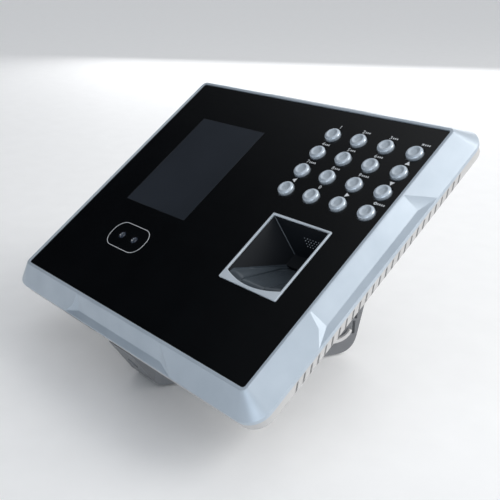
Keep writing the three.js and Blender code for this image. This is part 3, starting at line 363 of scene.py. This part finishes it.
def mesh_from(vertices, faces, name="mesh"):
    mesh = bpy.data.meshes.new(name)
    mesh.from_pydata([Vector(v) * MM for v in vertices], [], faces)
    mesh.validate()
    mesh.update()
    return mesh


def evaluated(piece):
    """The piece with its modifiers applied."""
    depsgraph = bpy.context.evaluated_depsgraph_get()
    mesh = bpy.data.meshes.new_from_object(piece.evaluated_get(depsgraph))
    old = piece.data
    piece.modifiers.clear()
    piece.data = mesh
    bpy.data.meshes.remove(old)
    return piece


def boolean(piece, tool, operation="DIFFERENCE"):
    modifier = piece.modifiers.new(operation, "BOOLEAN")
    modifier.operation = operation
    modifier.solver = "EXACT"
    modifier.object = tool
    evaluated(piece)
    bpy.data.objects.remove(tool)
    return piece


def soften(piece, width, segments=2, angle=30.0):
    """Rounds the piece's sharp edges and shades it smooth between them."""
    edges = bmesh.new()
    edges.from_mesh(piece.data)
    bmesh.ops.remove_doubles(edges, verts=edges.verts, dist=1e-6)
    bmesh.ops.dissolve_limit(
        edges, angle_limit=math.radians(0.5), verts=edges.verts, edges=edges.edges
    )
    edges.to_mesh(piece.data)
    edges.free()
    modifier = piece.modifiers.new("edge", "BEVEL")
    modifier.width = width * MM
    modifier.segments = segments
    modifier.limit_method = "ANGLE"
    modifier.angle_limit = math.radians(angle)
    modifier.use_clamp_overlap = True
    evaluated(piece)
    piece.data.shade_smooth()
    weighted = piece.modifiers.new("normals", "WEIGHTED_NORMAL")
    weighted.keep_sharp = True
    return evaluated(piece)


def thicken(piece, thickness):
    modifier = piece.modifiers.new("thickness", "SOLIDIFY")
    modifier.thickness = thickness * MM
    modifier.offset = -1.0
    modifier.use_even_offset = True
    return evaluated(piece)


def outline_points(half_x, half_y, radius, steps=16):
    """Rectangle round the origin with rounded corners."""
    points = []
    for sx, sy, start in ((1, 1, 0), (-1, 1, 90), (-1, -1, 180), (1, -1, 270)):
        for i in range(steps + 1):
            angle = math.radians(start + 90 * i / steps)
            points.append(
                (
                    sx * (half_x - radius) + radius * math.cos(angle),
                    sy * (half_y - radius) + radius * math.sin(angle),
                )
            )
    return points


def loft(levels):
    """Closed mesh through outlines of equal point count, lowest level first."""
    count = len(levels[0][0])
    vertices = [(x, y, z) for outline, z in levels for x, y in outline]
    faces = []
    for level in range(len(levels) - 1):
        for i in range(count):
            a = level * count + i
            b = level * count + (i + 1) % count
            faces.append((a, b, b + count, a + count))
    faces.append(tuple(reversed(range(count))))
    faces.append(tuple(range((len(levels) - 1) * count, len(levels) * count)))
    return mesh_from(vertices, faces)


def plate(outline, holes, low, high, edge=0.0):
    """Flat plate with holes, from a filled 2D curve, its edges rounded by `edge`."""
    curve = bpy.data.curves.new("plate", "CURVE")
    curve.dimensions = "2D"
    curve.fill_mode = "BOTH"
    for loop in [outline, *holes]:
        spline = curve.splines.new("POLY")
        spline.points.add(len(loop) - 1)
        for point, (x, y) in zip(spline.points, loop):
            point.co = (x * MM, y * MM, 0, 1)
        spline.use_cyclic_u = True
    curve.extrude = (high - low) / 2 * MM - edge * MM
    curve.bevel_depth = edge * MM
    curve.bevel_resolution = 2
    curve.offset = -edge * MM
    holder = bpy.data.objects.new("plate", curve)
    bpy.context.scene.collection.objects.link(holder)
    bpy.context.view_layer.update()
    mesh = bpy.data.meshes.new_from_object(holder.evaluated_get(bpy.context.evaluated_depsgraph_get()))
    bpy.data.objects.remove(holder)
    bpy.data.curves.remove(curve)
    mesh.transform(Matrix.Translation((0, 0, (low + high) / 2 * MM)))
    joined = bmesh.new()
    joined.from_mesh(mesh)
    bmesh.ops.remove_doubles(joined, verts=joined.verts, dist=1e-6)
    joined.to_mesh(mesh)
    joined.free()
    return mesh


def circle(x, y, radius, steps=40):
    return [
        (x + radius * math.cos(2 * math.pi * i / steps), y + radius * math.sin(2 * math.pi * i / steps))
        for i in range(steps)
    ]


def turned(profile, steps=48):
    """Closed lathe mesh about z; the profile starts and ends on the axis."""
    vertices = [(0, 0, profile[0][1])]
    rings = profile[1:-1]
    for radius, z in rings:
        for x, y in circle(0, 0, radius, steps):
            vertices.append((x, y, z))
    vertices.append((0, 0, profile[-1][1]))
    last = len(vertices) - 1
    faces = []
    for i in range(steps):
        j = (i + 1) % steps
        faces.append((0, 1 + j, 1 + i))
        for k in range(len(rings) - 1):
            a = 1 + k * steps
            faces.append((a + i, a + j, a + steps + j, a + steps + i))
        top = 1 + (len(rings) - 1) * steps
        faces.append((top + i, top + j, last))
    return mesh_from(vertices, faces)


def arc_profile(cx, cz, radius, start, end, steps=6):
    """Profile points on an arc, angles in degrees from the outward radius."""
    return [
        (
            cx + radius * math.cos(math.radians(start + (end - start) * i / steps)),
            cz + radius * math.sin(math.radians(start + (end - start) * i / steps)),
        )
        for i in range(steps + 1)
    ]


def smooth(piece, angle=40.0):
    piece.data.shade_smooth()
    piece.data.set_sharp_from_angle(angle=math.radians(angle))
    return piece


def place(piece, body, slot_name, *replaced):
    """Rides the piece on its body and hides the CAD nodes that it stands for; the slot name is not used.
    """
    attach(piece, body)
    if replaced:
        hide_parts(*replaced)
    return piece


def face_piece(name, mesh, slot_name, *replaced, material=None, at=(0, 0, 0)):
    """A piece of the terminal from a mesh drawn in the face frame."""
    matrix = FACE @ Matrix.Translation(Vector(at) * MM)
    piece = add_object(name, mesh, material or MATERIALS[slot_name], matrix)
    return place(piece, TERMINAL, slot_name, *replaced)


# ---------------------------------------------------------------- front bezel
def recess_tool(rim_half, lip_half, turn):
    """Cutter for the recess in one bevel, drawn for the lower bevel and turned to its side."""
    rim = (rim_half, 0.0)
    foot = (lip_half - RECESS_SHELF, RECESS_Z)
    lip = (lip_half, LIP_Z)
    past = (rim[0] + lip[0] - foot[0] + 1, rim[1] + lip[1] - foot[1] + 1)
    spans = (RECESS_TOP, RECESS_TOP, RECESS_LIP, RECESS_LIP)
    vertices = []
    for side in (-1, 1):
        for (out, z), span in zip((rim, foot, lip, past), spans):
            vertices.append((side * span, -out, z))
    faces = [(i, (i + 1) % 4, (i + 1) % 4 + 4, i + 4) for i in range(4)]
    faces += [(3, 2, 1, 0), (4, 5, 6, 7)]
    mesh = mesh_from(vertices, faces)
    mesh.transform(Matrix.Rotation(math.radians(turn), 4, "Z"))
    fix = bmesh.new()
    fix.from_mesh(mesh)
    bmesh.ops.recalc_face_normals(fix, faces=fix.faces)
    fix.to_mesh(mesh)
    fix.free()
    return add_object("recess_tool", mesh, MATERIALS["silver_paint"])


def make_bezel():
    half_x, half_y = BEZEL_HIGH.x, BEZEL_HIGH.y
    rim_x = PANEL_HIGH.x + PANEL_GAP * 2 + RIM_W
    rim_y = PANEL_HIGH.y + PANEL_GAP * 2 + RIM_W
    top = BEZEL_HIGH.z
    levels = [
        (outline_points(half_x, half_y, CASE_R), BEZEL_LOW.z),
        (outline_points(half_x, half_y, CASE_R), LIP_Z),
        (outline_points(rim_x, rim_y, RIM_R), top - RIM_EDGE_Z),
        (outline_points(rim_x - RIM_EDGE_X, rim_y - RIM_EDGE_X, RIM_R - RIM_EDGE_X), top),
    ]
    piece = add_object("bezel_shell", loft(levels), MATERIALS["silver_paint"])
    for grow, low in ((PANEL_GAP, -PANEL_T - PANEL_SEAT), (-PANEL_LEDGE, CUT_LOW)):
        outline = outline_points(PANEL_HIGH.x + grow, PANEL_HIGH.y + grow, PANEL_R, 6)
        tool = loft([(outline, low), (outline, CUT_HIGH)])
        boolean(piece, add_object("tool", tool, MATERIALS["silver_paint"]))
    for first_turn, rim, lip in ((0, rim_y, half_y), (90, rim_x, half_x)):
        for turn in (first_turn, first_turn + 180):
            boolean(piece, recess_tool(rim, lip, turn))
    soften(piece, 0.22, segments=3, angle=14.0)
    piece.data.transform(FACE)
    return place(piece, TERMINAL, "silver_paint", "front_bezel")


# ---------------------------------------------------------------- panel, screen and camera window
def pill(low, high, grow=0.0, steps=14):
    """Outline of the camera window, almost round at its ends."""
    half_x = (high.x - low.x) / 2 + grow
    half_y = (high.y - low.y) / 2 + grow
    mid = (low + high) / 2
    return [(x + mid.x, y + mid.y) for x, y in outline_points(half_x, half_y, half_y - 1.0, steps)]


def rectangle(x0, x1, y0, y1):
    return [(x0, y0), (x1, y0), (x1, y1), (x0, y1)]


def box_outline(low, high, grow=0.0):
    return rectangle(low.x - grow, high.x + grow, low.y - grow, high.y + grow)


def node_centre(node):
    low, high = face_box(node)
    return (low.x + high.x) / 2, (low.y + high.y) / 2


def make_panel():
    holes = [circle(*node_centre(node), KEY_HOLE_R) for node in KEY_NODES]
    holes.append(box_outline(SCREEN_LOW, SCREEN_HIGH, SCREEN_GAP))
    holes.append(pill(CAMERA_LOW, CAMERA_HIGH, CAMERA_GAP))
    holes.append(box_outline(SENSOR_LOW, SENSOR_HIGH, SENSOR_GAP))
    outline = outline_points(PANEL_HIGH.x, PANEL_HIGH.y, PANEL_R, 6)
    mesh = plate(outline, holes, PANEL_LOW.z, PANEL_HIGH.z, 0.08)
    return face_piece("panel_sheet", mesh, "black_gloss", "front_panel")


def make_screen():
    mesh = plate(box_outline(SCREEN_LOW, SCREEN_HIGH), [], SCREEN_LOW.z, SCREEN_HIGH.z, 0.05)
    return face_piece("screen_glass", mesh, "screen_glass", "screen_window")


def make_camera():
    lens_nodes = ("camera_module_visible", "camera_module_infrared")
    holes = [circle(*node_centre(node), LENS_HOLE_R) for node in lens_nodes]
    mesh = plate(pill(CAMERA_LOW, CAMERA_HIGH), holes, CAMERA_LOW.z, CAMERA_HIGH.z, 0.08)
    face_piece("camera_cover", mesh, "black_gloss", "camera_window")
    outer, inner = (pill(CAMERA_LOW, CAMERA_HIGH, grow) for grow in CAMERA_LINE)
    line = plate(outer, [inner], -0.02, 0.06)
    face_piece("camera_outline", line, "silver_paint", material=LABEL_WHITE)
    for node in lens_nodes:
        x, y = node_centre(node)
        low, _ = face_box(node)
        seat = -PANEL_T - PANEL_SEAT
        barrel = [(0, low.z), (LENS_FLANGE_R, low.z), (LENS_FLANGE_R, seat), (LENS_BARREL_R, seat)]
        barrel += [(LENS_BARREL_R, -0.15), (LENS_LIP_R, -0.1), (LENS_WELL_R, -0.5)]
        barrel += arc_profile(0, -0.3 - LENS_GLASS_R, LENS_GLASS_R, 50, 88, 6)
        barrel.append((0, -0.3))
        lens = face_piece(f"lens_{node}", turned(barrel, 40), "lens_glass", node, at=(x, y, 0))
        smooth(lens, 50)


# ---------------------------------------------------------------- keys and their labels
def key_profile(low, high):
    """Half section of a key: flange, straight side, round rim and a shallow dish."""
    top = high.z
    flange_r = (high.x - low.x) / 2
    flange_top = low.z + KEY_FLANGE_T
    profile = [(0, low.z), (flange_r, low.z), (flange_r, flange_top), (KEY_R, flange_top)]
    profile += arc_profile(KEY_R - KEY_ROUND, top - KEY_ROUND, KEY_ROUND, 0, 86, 12)
    dish_r = KEY_R * KEY_DISH
    profile += [(dish_r, top - 0.01), (dish_r - KEY_DISH_DEPTH, top - KEY_DISH_DEPTH)]
    profile += [(KEY_R * 0.3, top - KEY_DISH_DEPTH - 0.04), (0, top - KEY_DISH_DEPTH - 0.05)]
    return profile


def make_keys():
    for node in KEY_NODES:
        low, high = face_box(node)
        x, y = node_centre(node)
        mesh = turned(key_profile(low, high), 56)
        matrix = FACE @ Matrix.Translation(Vector((x, y, 0)) * MM)
        piece = add_object(f"cap_{node}", mesh, MATERIALS["silver_key"], matrix)
        smooth(piece, 60)
        place(piece, f"{node}_body", "silver_key", node)


def text_mesh(text, size):
    curve = bpy.data.curves.new("label", "FONT")
    curve.body = text
    curve.size = size * MM
    curve.align_x = "CENTER"
    curve.align_y = "CENTER"
    curve.extrude = MARK_T * MM
    curve.resolution_u = 4
    holder = bpy.data.objects.new("label", curve)
    bpy.context.scene.collection.objects.link(holder)
    bpy.context.view_layer.update()
    mesh = bpy.data.meshes.new_from_object(holder.evaluated_get(bpy.context.evaluated_depsgraph_get()))
    bpy.data.objects.remove(holder)
    bpy.data.curves.remove(curve)
    return mesh


def triangle_mark(direction, size=1.3):
    turn = {"up": 0, "left": 90, "down": 180, "right": 270}[direction]
    points = []
    for angle in (90, 210, 330):
        a = math.radians(angle + turn)
        points.append((size * math.cos(a), size * math.sin(a)))
    return plate(points, [], -MARK_T, MARK_T)


def bars_mark(count, start):
    """Small upright bars in the place of a key's letters."""
    meshes = []
    for i in range(count):
        x = start + i * BAR_PITCH
        meshes.append(plate(rectangle(x, x + BAR_W, BAR_LOW, BAR_HIGH), [], -MARK_T, MARK_T))
    return meshes


def cross_mark(size):
    meshes = []
    for angle in (45, -45):
        bar = plate(rectangle(-size, size, -0.16, 0.16), [], -MARK_T, MARK_T)
        bar.transform(Matrix.Rotation(math.radians(angle), 4, "Z"))
        meshes.append(bar)
    return meshes


def ring_mark(radius):
    return plate(circle(0, 0, radius, 24), [circle(0, 0, radius - 0.36, 24)], -MARK_T, MARK_T)


def join_meshes(meshes):
    joined = bmesh.new()
    for mesh in meshes:
        joined.from_mesh(mesh)
        bpy.data.meshes.remove(mesh)
    mesh = bpy.data.meshes.new("joined")
    joined.to_mesh(mesh)
    joined.free()
    return mesh


def label_meshes(node):
    mark = node.split("_")[1]
    if mark in ("up", "down", "left", "right"):
        return [triangle_mark(mark)]
    if mark == "escape":
        return [*cross_mark(0.7), *bars_mark(3, 1.0)]
    if mark == "enter":
        return [ring_mark(0.7), *bars_mark(4, 1.0)]
    digit = text_mesh(mark, LABEL_SIZE)
    if mark in ("0", "1"):
        return [digit]
    digit.transform(Matrix.Translation((DIGIT_SHIFT * MM, 0, 0)))
    return [digit, *bars_mark(4 if mark in ("7", "9") else 3, -0.4)]


def make_labels():
    for node in KEY_NODES:
        x, y = node_centre(node)
        mesh = join_meshes(label_meshes(node))
        spot = (x + LABEL_SHIFT, y + LABEL_RISE, LABEL_LIFT)
        face_piece(f"label_{node}", mesh, "silver_paint", material=LABEL_WHITE, at=spot)


# ---------------------------------------------------------------- fingerprint scoop
SENSOR_CENTRE = (SENSOR_MID.x, SENSOR_MID.y, 0)
SCOOP_HALF = (SENSOR_HIGH.x - SENSOR_LOW.x) / 2 - SCOOP_RIM
SCOOP_TOP_Y = (SENSOR_HIGH.y - SENSOR_LOW.y) / 2 - SCOOP_RIM
SCOOP_LOW_Y = -(SENSOR_HIGH.y - SENSOR_LOW.y) / 2 + SCOOP_RIM + SCOOP_SIDE


def arc_y(share):
    """y of the frame's concave lower edge at a share -1 to 1 of its half width."""
    return SCOOP_LOW_Y - SCOOP_ARC * (1 - share * share)


def make_sensor_frame():
    half_x = SENSOR_HIGH.x - SENSOR_MID.x
    half_y = SENSOR_HIGH.y - SENSOR_MID.y
    steps = 28
    arc = [
        ((2 * i / steps - 1) * SCOOP_HALF, arc_y(2 * i / steps - 1)) for i in range(steps + 1)
    ]
    hole = arc + [(SCOOP_HALF, SCOOP_TOP_Y), (-SCOOP_HALF, SCOOP_TOP_Y)]
    outer = outline_points(half_x, half_y, 0.6, 5)
    mesh = plate(outer, [hole], SENSOR_LOW.z, SENSOR_HIGH.z, 0.22)
    # The frame is the bezel's silver paint drawn in a lighter copy: painted light.
    face_piece(
        "scoop_frame", mesh, "silver_paint", "sensor_frame", material=PAINTED_LIGHT_SILVER, at=SENSOR_CENTRE
    )


def cradle_profile(half):
    """Half a cross-section of the ramp, middle to wall: distance out and depth below the plane."""
    inner = min(PLATEN_W / 2 + CRADLE_PLAY, half - 1.2)
    width = half - inner
    flat = [(inner * i / 4, PLATEN_SUNK + 0.06) for i in range(5)]
    slit_low = PLATEN_SUNK + CRADLE_SLIT
    slit = [(inner + 0.05, slit_low), (inner + 0.3, slit_low), (inner + 0.35, CRADLE_FLANK)]
    flank = []
    for i in range(1, 9):
        share = i / 9
        flank.append((inner + 0.35 + (width - 0.35) * share, CRADLE_FLANK * (1 - share) ** 1.6 + 0.25))
    bead = [(half - 0.45, 0.2), (half - 0.3, -BEAD_RISE), (half, -BEAD_RISE)]
    return flat + slit + flank + bead


def scoop_grid():
    """Rows of points down the ramp; each row runs from the left wall to the right."""
    along = 26
    slope = SCOOP_DEPTH / (SCOOP_FLOOR_Y[0] - SCOOP_LOW_Y)
    rows = []
    for j in range(along + 1):
        t = j / along
        half = SCOOP_HALF + (SCOOP_FLOOR_HALF - SCOOP_HALF) * t
        right = cradle_profile(half)
        section = [(-x, sunk) for x, sunk in reversed(right)] + right[1:]
        row = []
        for x, sunk in section:
            start = arc_y(x / half)
            y = start + (SCOOP_FLOOR_Y[0] - start) * t
            plane = -(y - SCOOP_LOW_Y) * slope
            row.append((x, y, min(CRADLE_START - 0.05 * (y - start), plane - sunk)))
        rows.append(row)
    return rows


def make_scoop():
    """The ramp under the finger, and the funnel's walls round it."""
    rows = scoop_grid()
    across = len(rows[0])
    vertices = [p for row in rows for p in row]
    faces = []
    for j in range(len(rows) - 1):
        for i in range(across - 1):
            a = j * across + i
            faces.append((a, a + 1, a + 1 + across, a + across))
    ramp_piece = add_object("finger_ramp", mesh_from(vertices, faces), CRADLE_GREY_AND_RIDGE_HIGHLIGHT)
    thicken(ramp_piece, 1.0)
    smooth(ramp_piece, 50)
    ramp_piece.data.transform(FACE @ Matrix.Translation(Vector(SENSOR_CENTRE) * MM))
    place(ramp_piece, TERMINAL, "black_matte")

    top_z = SENSOR_LOW.z
    floor = SCOOP_FLOOR_HALF
    left = [
        (-SCOOP_HALF, SCOOP_LOW_Y - 1, top_z),
        (-SCOOP_HALF, SCOOP_TOP_Y, top_z),
        (-floor, SCOOP_FLOOR_Y[1], -SCOOP_DEPTH),
        (-floor, SCOOP_FLOOR_Y[0], -SCOOP_DEPTH),
    ]
    wall_vertices = left + [(-x, y, z) for x, y, z in left]
    wall_faces = [(0, 3, 2, 1), (4, 5, 6, 7), (1, 2, 6, 5), (2, 3, 7, 6)]
    shroud = add_object("scoop_walls", mesh_from(wall_vertices, wall_faces), MATERIALS["black_matte"])
    thicken(shroud, 1.2)
    soften(shroud, 0.15, 2, 25)
    shroud.data.transform(FACE @ Matrix.Translation(Vector(SENSOR_CENTRE) * MM))
    place(shroud, TERMINAL, "black_matte", "sensor_shroud")


def rod(start, end, radius, steps=12):
    """Round bar between two points."""
    along = end - start
    bar = turned([(0, 0), (radius, 0), (radius, along.length), (0, along.length)], steps)
    bar.transform(Matrix.Translation(start * MM) @ along.to_track_quat("Z", "Y").to_matrix().to_4x4())
    return bar


def make_scoop_ridges():
    """Raised lines where the side walls of the scoop meet its far wall; their grey, lighter than the
    black walls, is a painted highlight along each edge.
    """
    for side, name in ((-1, "left"), (1, "right")):
        top = Vector((side * (SCOOP_HALF - RIDGE_R), SCOOP_TOP_Y - RIDGE_R, SENSOR_LOW.z))
        foot = Vector((side * SCOOP_FLOOR_HALF, SCOOP_FLOOR_Y[1], -SCOOP_DEPTH))
        mesh = rod(top, foot, RIDGE_R)
        # The ridges take the ramp's grey: a painted highlight on the black matte edge.
        ridge = face_piece(
            f"scoop_ridge_{name}", mesh, "black_matte", material=CRADLE_GREY_AND_RIDGE_HIGHLIGHT, at=SENSOR_CENTRE
        )
        smooth(ridge)


def make_scoop_dots():
    """Rows of small beads on the far wall of the scoop, towards the right; their light silver on the
    black wall is painted highlight.
    """
    meshes = []
    for row in range(DOT_ROWS):
        share = DOT_FIRST_SHARE + DOT_ROW_SHARE * row
        y = SCOOP_TOP_Y + (SCOOP_FLOOR_Y[1] - SCOOP_TOP_Y) * share
        z = SENSOR_LOW.z + (-SCOOP_DEPTH - SENSOR_LOW.z) * share
        for column in range(DOT_COLUMNS):
            bead = bmesh.new()
            bmesh.ops.create_icosphere(bead, subdivisions=2, radius=DOT_R * MM)
            mesh = bpy.data.meshes.new("bead")
            bead.to_mesh(mesh)
            bead.free()
            x = DOT_FIRST_X + DOT_PITCH * column + DOT_STAGGER * row
            mesh.transform(Matrix.Translation(Vector((x, y - 0.05, z)) * MM))
            meshes.append(mesh)
    # The beads take the lighter silver: painted highlights on the black matte wall.
    dots = face_piece(
        "scoop_dots", join_meshes(meshes), "black_matte", material=PAINTED_LIGHT_SILVER, at=SENSOR_CENTRE
    )
    dots.data.shade_smooth()


# ---------------------------------------------------------------- pieces refined from their CAD solids
def refined(node, width, body=TERMINAL, segments=2, angle=28.0):
    """A copy of a CAD solid with its edges rounded."""
    source = frame["nodes"][node]
    piece = add_object(f"fine_{node}", source.data.copy(), MATERIALS[NODE_SLOT[node]])
    soften(piece, width, segments, angle)
    return place(piece, body, NODE_SLOT[node], node)


def make_refined():
    """The shells and the stand keep their CAD shapes, with rounded edges."""
    refined("rear_case", 0.25, angle=20.0)
    refined("side_band", 0.15, angle=20.0)
    refined("sensor_prism", 0.2)
    refined("port_cover", 0.2)
    refined("stand", 0.35, STAND, angle=20.0)
    refined("back_plate", 0.2, STAND)
    for side in ("right", "left"):
        refined(f"cable_clip_{side}", 0.3, STAND, 3)
    for foot in ("front", "left", "right"):
        refined(f"foot_{foot}", 0.3, STAND)


# ---------------------------------------------------------------- stage, lights and camera
# In metres, in the object's own axes.
CAMERA_FROM_FACE = Vector((0.2319, -0.2026, 0.1007))
CAMERA_ELEVATION = math.radians(22.38)
CAMERA_AZIMUTH = math.radians(48.18)
CAMERA_LENS = 53.75
CAMERA_SHIFT = (0.0426, 0.0172)
SKY_BRIGHT = (0.45, 0.35, 0.82)
SKY_FLAG = (-0.85, -0.17, 0.5)
SKY_WALL = (-0.55, 0.55, -0.63)
SKY_STRENGTH = 0.82
FLOOR_HALF = 20.0
FLOOR_DROP = 0.0002


def make_camera_view():
    data = bpy.data.cameras.new("camera")
    data.lens = CAMERA_LENS
    data.sensor_width = 36.0
    data.shift_x, data.shift_y = CAMERA_SHIFT
    data.clip_start = 0.01
    view = bpy.data.objects.new("camera", data)
    view.location = FACE.translation + CAMERA_FROM_FACE
    view.rotation_euler = (math.pi / 2 - CAMERA_ELEVATION, 0, CAMERA_AZIMUTH)
    bpy.context.scene.collection.objects.link(view)
    bpy.context.scene.camera = view


def area_light(name, at, aim, size, power, color=(1, 1, 1)):
    data = bpy.data.lights.new(name, "AREA")
    data.shape = "RECTANGLE"
    data.size, data.size_y = size
    data.energy = power
    data.color = color
    lamp = bpy.data.objects.new(name, data)
    lamp.location = at
    lamp.rotation_euler = (Vector(aim) - Vector(at)).to_track_quat("-Z", "Y").to_euler()
    bpy.context.scene.collection.objects.link(lamp)


def make_lights():
    area_light("key", (0.76, 0.5, 0.68), (0, 0, 0.05), (0.6, 0.6), 5.5, (1.0, 0.99, 0.97))
    area_light("front_fill", (0.34, -0.4, 0.08), (0.05, -0.05, 0.04), (0.3, 0.2), 0.5, (0.8, 0.9, 1.0))
    area_light("rear_rim", (-0.55, 0.75, 0.25), (0, 0, 0.06), (0.9, 0.35), 2.0)


def studio_world():
    """Soft light: bright from the right, back and above, dim and bluish from the lower front left.

    The part of the sky that the level panel mirrors towards the viewer is dark, as behind a black flag,
    and the low part behind the object is pale, as a studio wall is.
    """
    world = bpy.data.worlds.new("studio")
    world.use_nodes = True
    nodes, links = world.node_tree.nodes, world.node_tree.links
    background = next(n for n in nodes if n.type == "BACKGROUND")
    coords = nodes.new("ShaderNodeTexCoord")

    def facing(direction, start, end):
        dot = nodes.new("ShaderNodeVectorMath")
        dot.operation = "DOT_PRODUCT"
        dot.inputs[1].default_value = Vector(direction).normalized()
        links.new(coords.outputs["Generated"], dot.inputs[0])
        span = nodes.new("ShaderNodeMapRange")
        span.interpolation_type = "SMOOTHSTEP"
        span.inputs["From Min"].default_value = start
        span.inputs["From Max"].default_value = end
        links.new(dot.outputs["Value"], span.inputs["Value"])
        return span.outputs["Result"]

    def mix(share, first, second):
        node = nodes.new("ShaderNodeMixRGB")
        node.inputs["Color2"].default_value = (*second, 1)
        if hasattr(first, "is_output"):
            links.new(first, node.inputs["Color1"])
        else:
            node.inputs["Color1"].default_value = (*first, 1)
        links.new(share, node.inputs["Fac"])
        return node.outputs["Color"]

    sky = mix(facing(SKY_BRIGHT, -0.5, 0.8), (0.07, 0.10, 0.14), (0.95, 0.97, 1.0))
    flagged = mix(facing(SKY_FLAG, 0.737, 0.997), sky, (0.008, 0.009, 0.011))
    walls = mix(facing(SKY_WALL, 0.3, 0.6), flagged, (0.9, 0.92, 0.94))
    links.new(walls, background.inputs["Color"])
    background.inputs["Strength"].default_value = SKY_STRENGTH
    bpy.context.scene.world = world


def make_stage():
    far = FLOOR_HALF
    floor_mesh = bpy.data.meshes.new("floor")
    corners = [(-far, -far, 0), (far, -far, 0), (far, far, 0), (-far, far, 0)]
    floor_mesh.from_pydata(corners, [], [(0, 1, 2, 3)])
    floor_material = moulded(
        "floor_pale", (0.91, 0.91, 0.91), (0.93, 0.93, 0.93), (0.6, 0.7), grain=100.0
    )
    floor = add_object("floor", floor_mesh, floor_material, Matrix.Translation((0, 0, -FLOOR_DROP)))
    studio_world()
    bpy.context.scene.view_settings.view_transform = "Standard"


# ---------------------------------------------------------------- build
make_camera_view()
make_bezel()
make_panel()
make_screen()
make_camera()
make_keys()
make_labels()
make_sensor_frame()
make_scoop()
make_scoop_ridges()
make_scoop_dots()
make_refined()
make_lights()
make_stage()
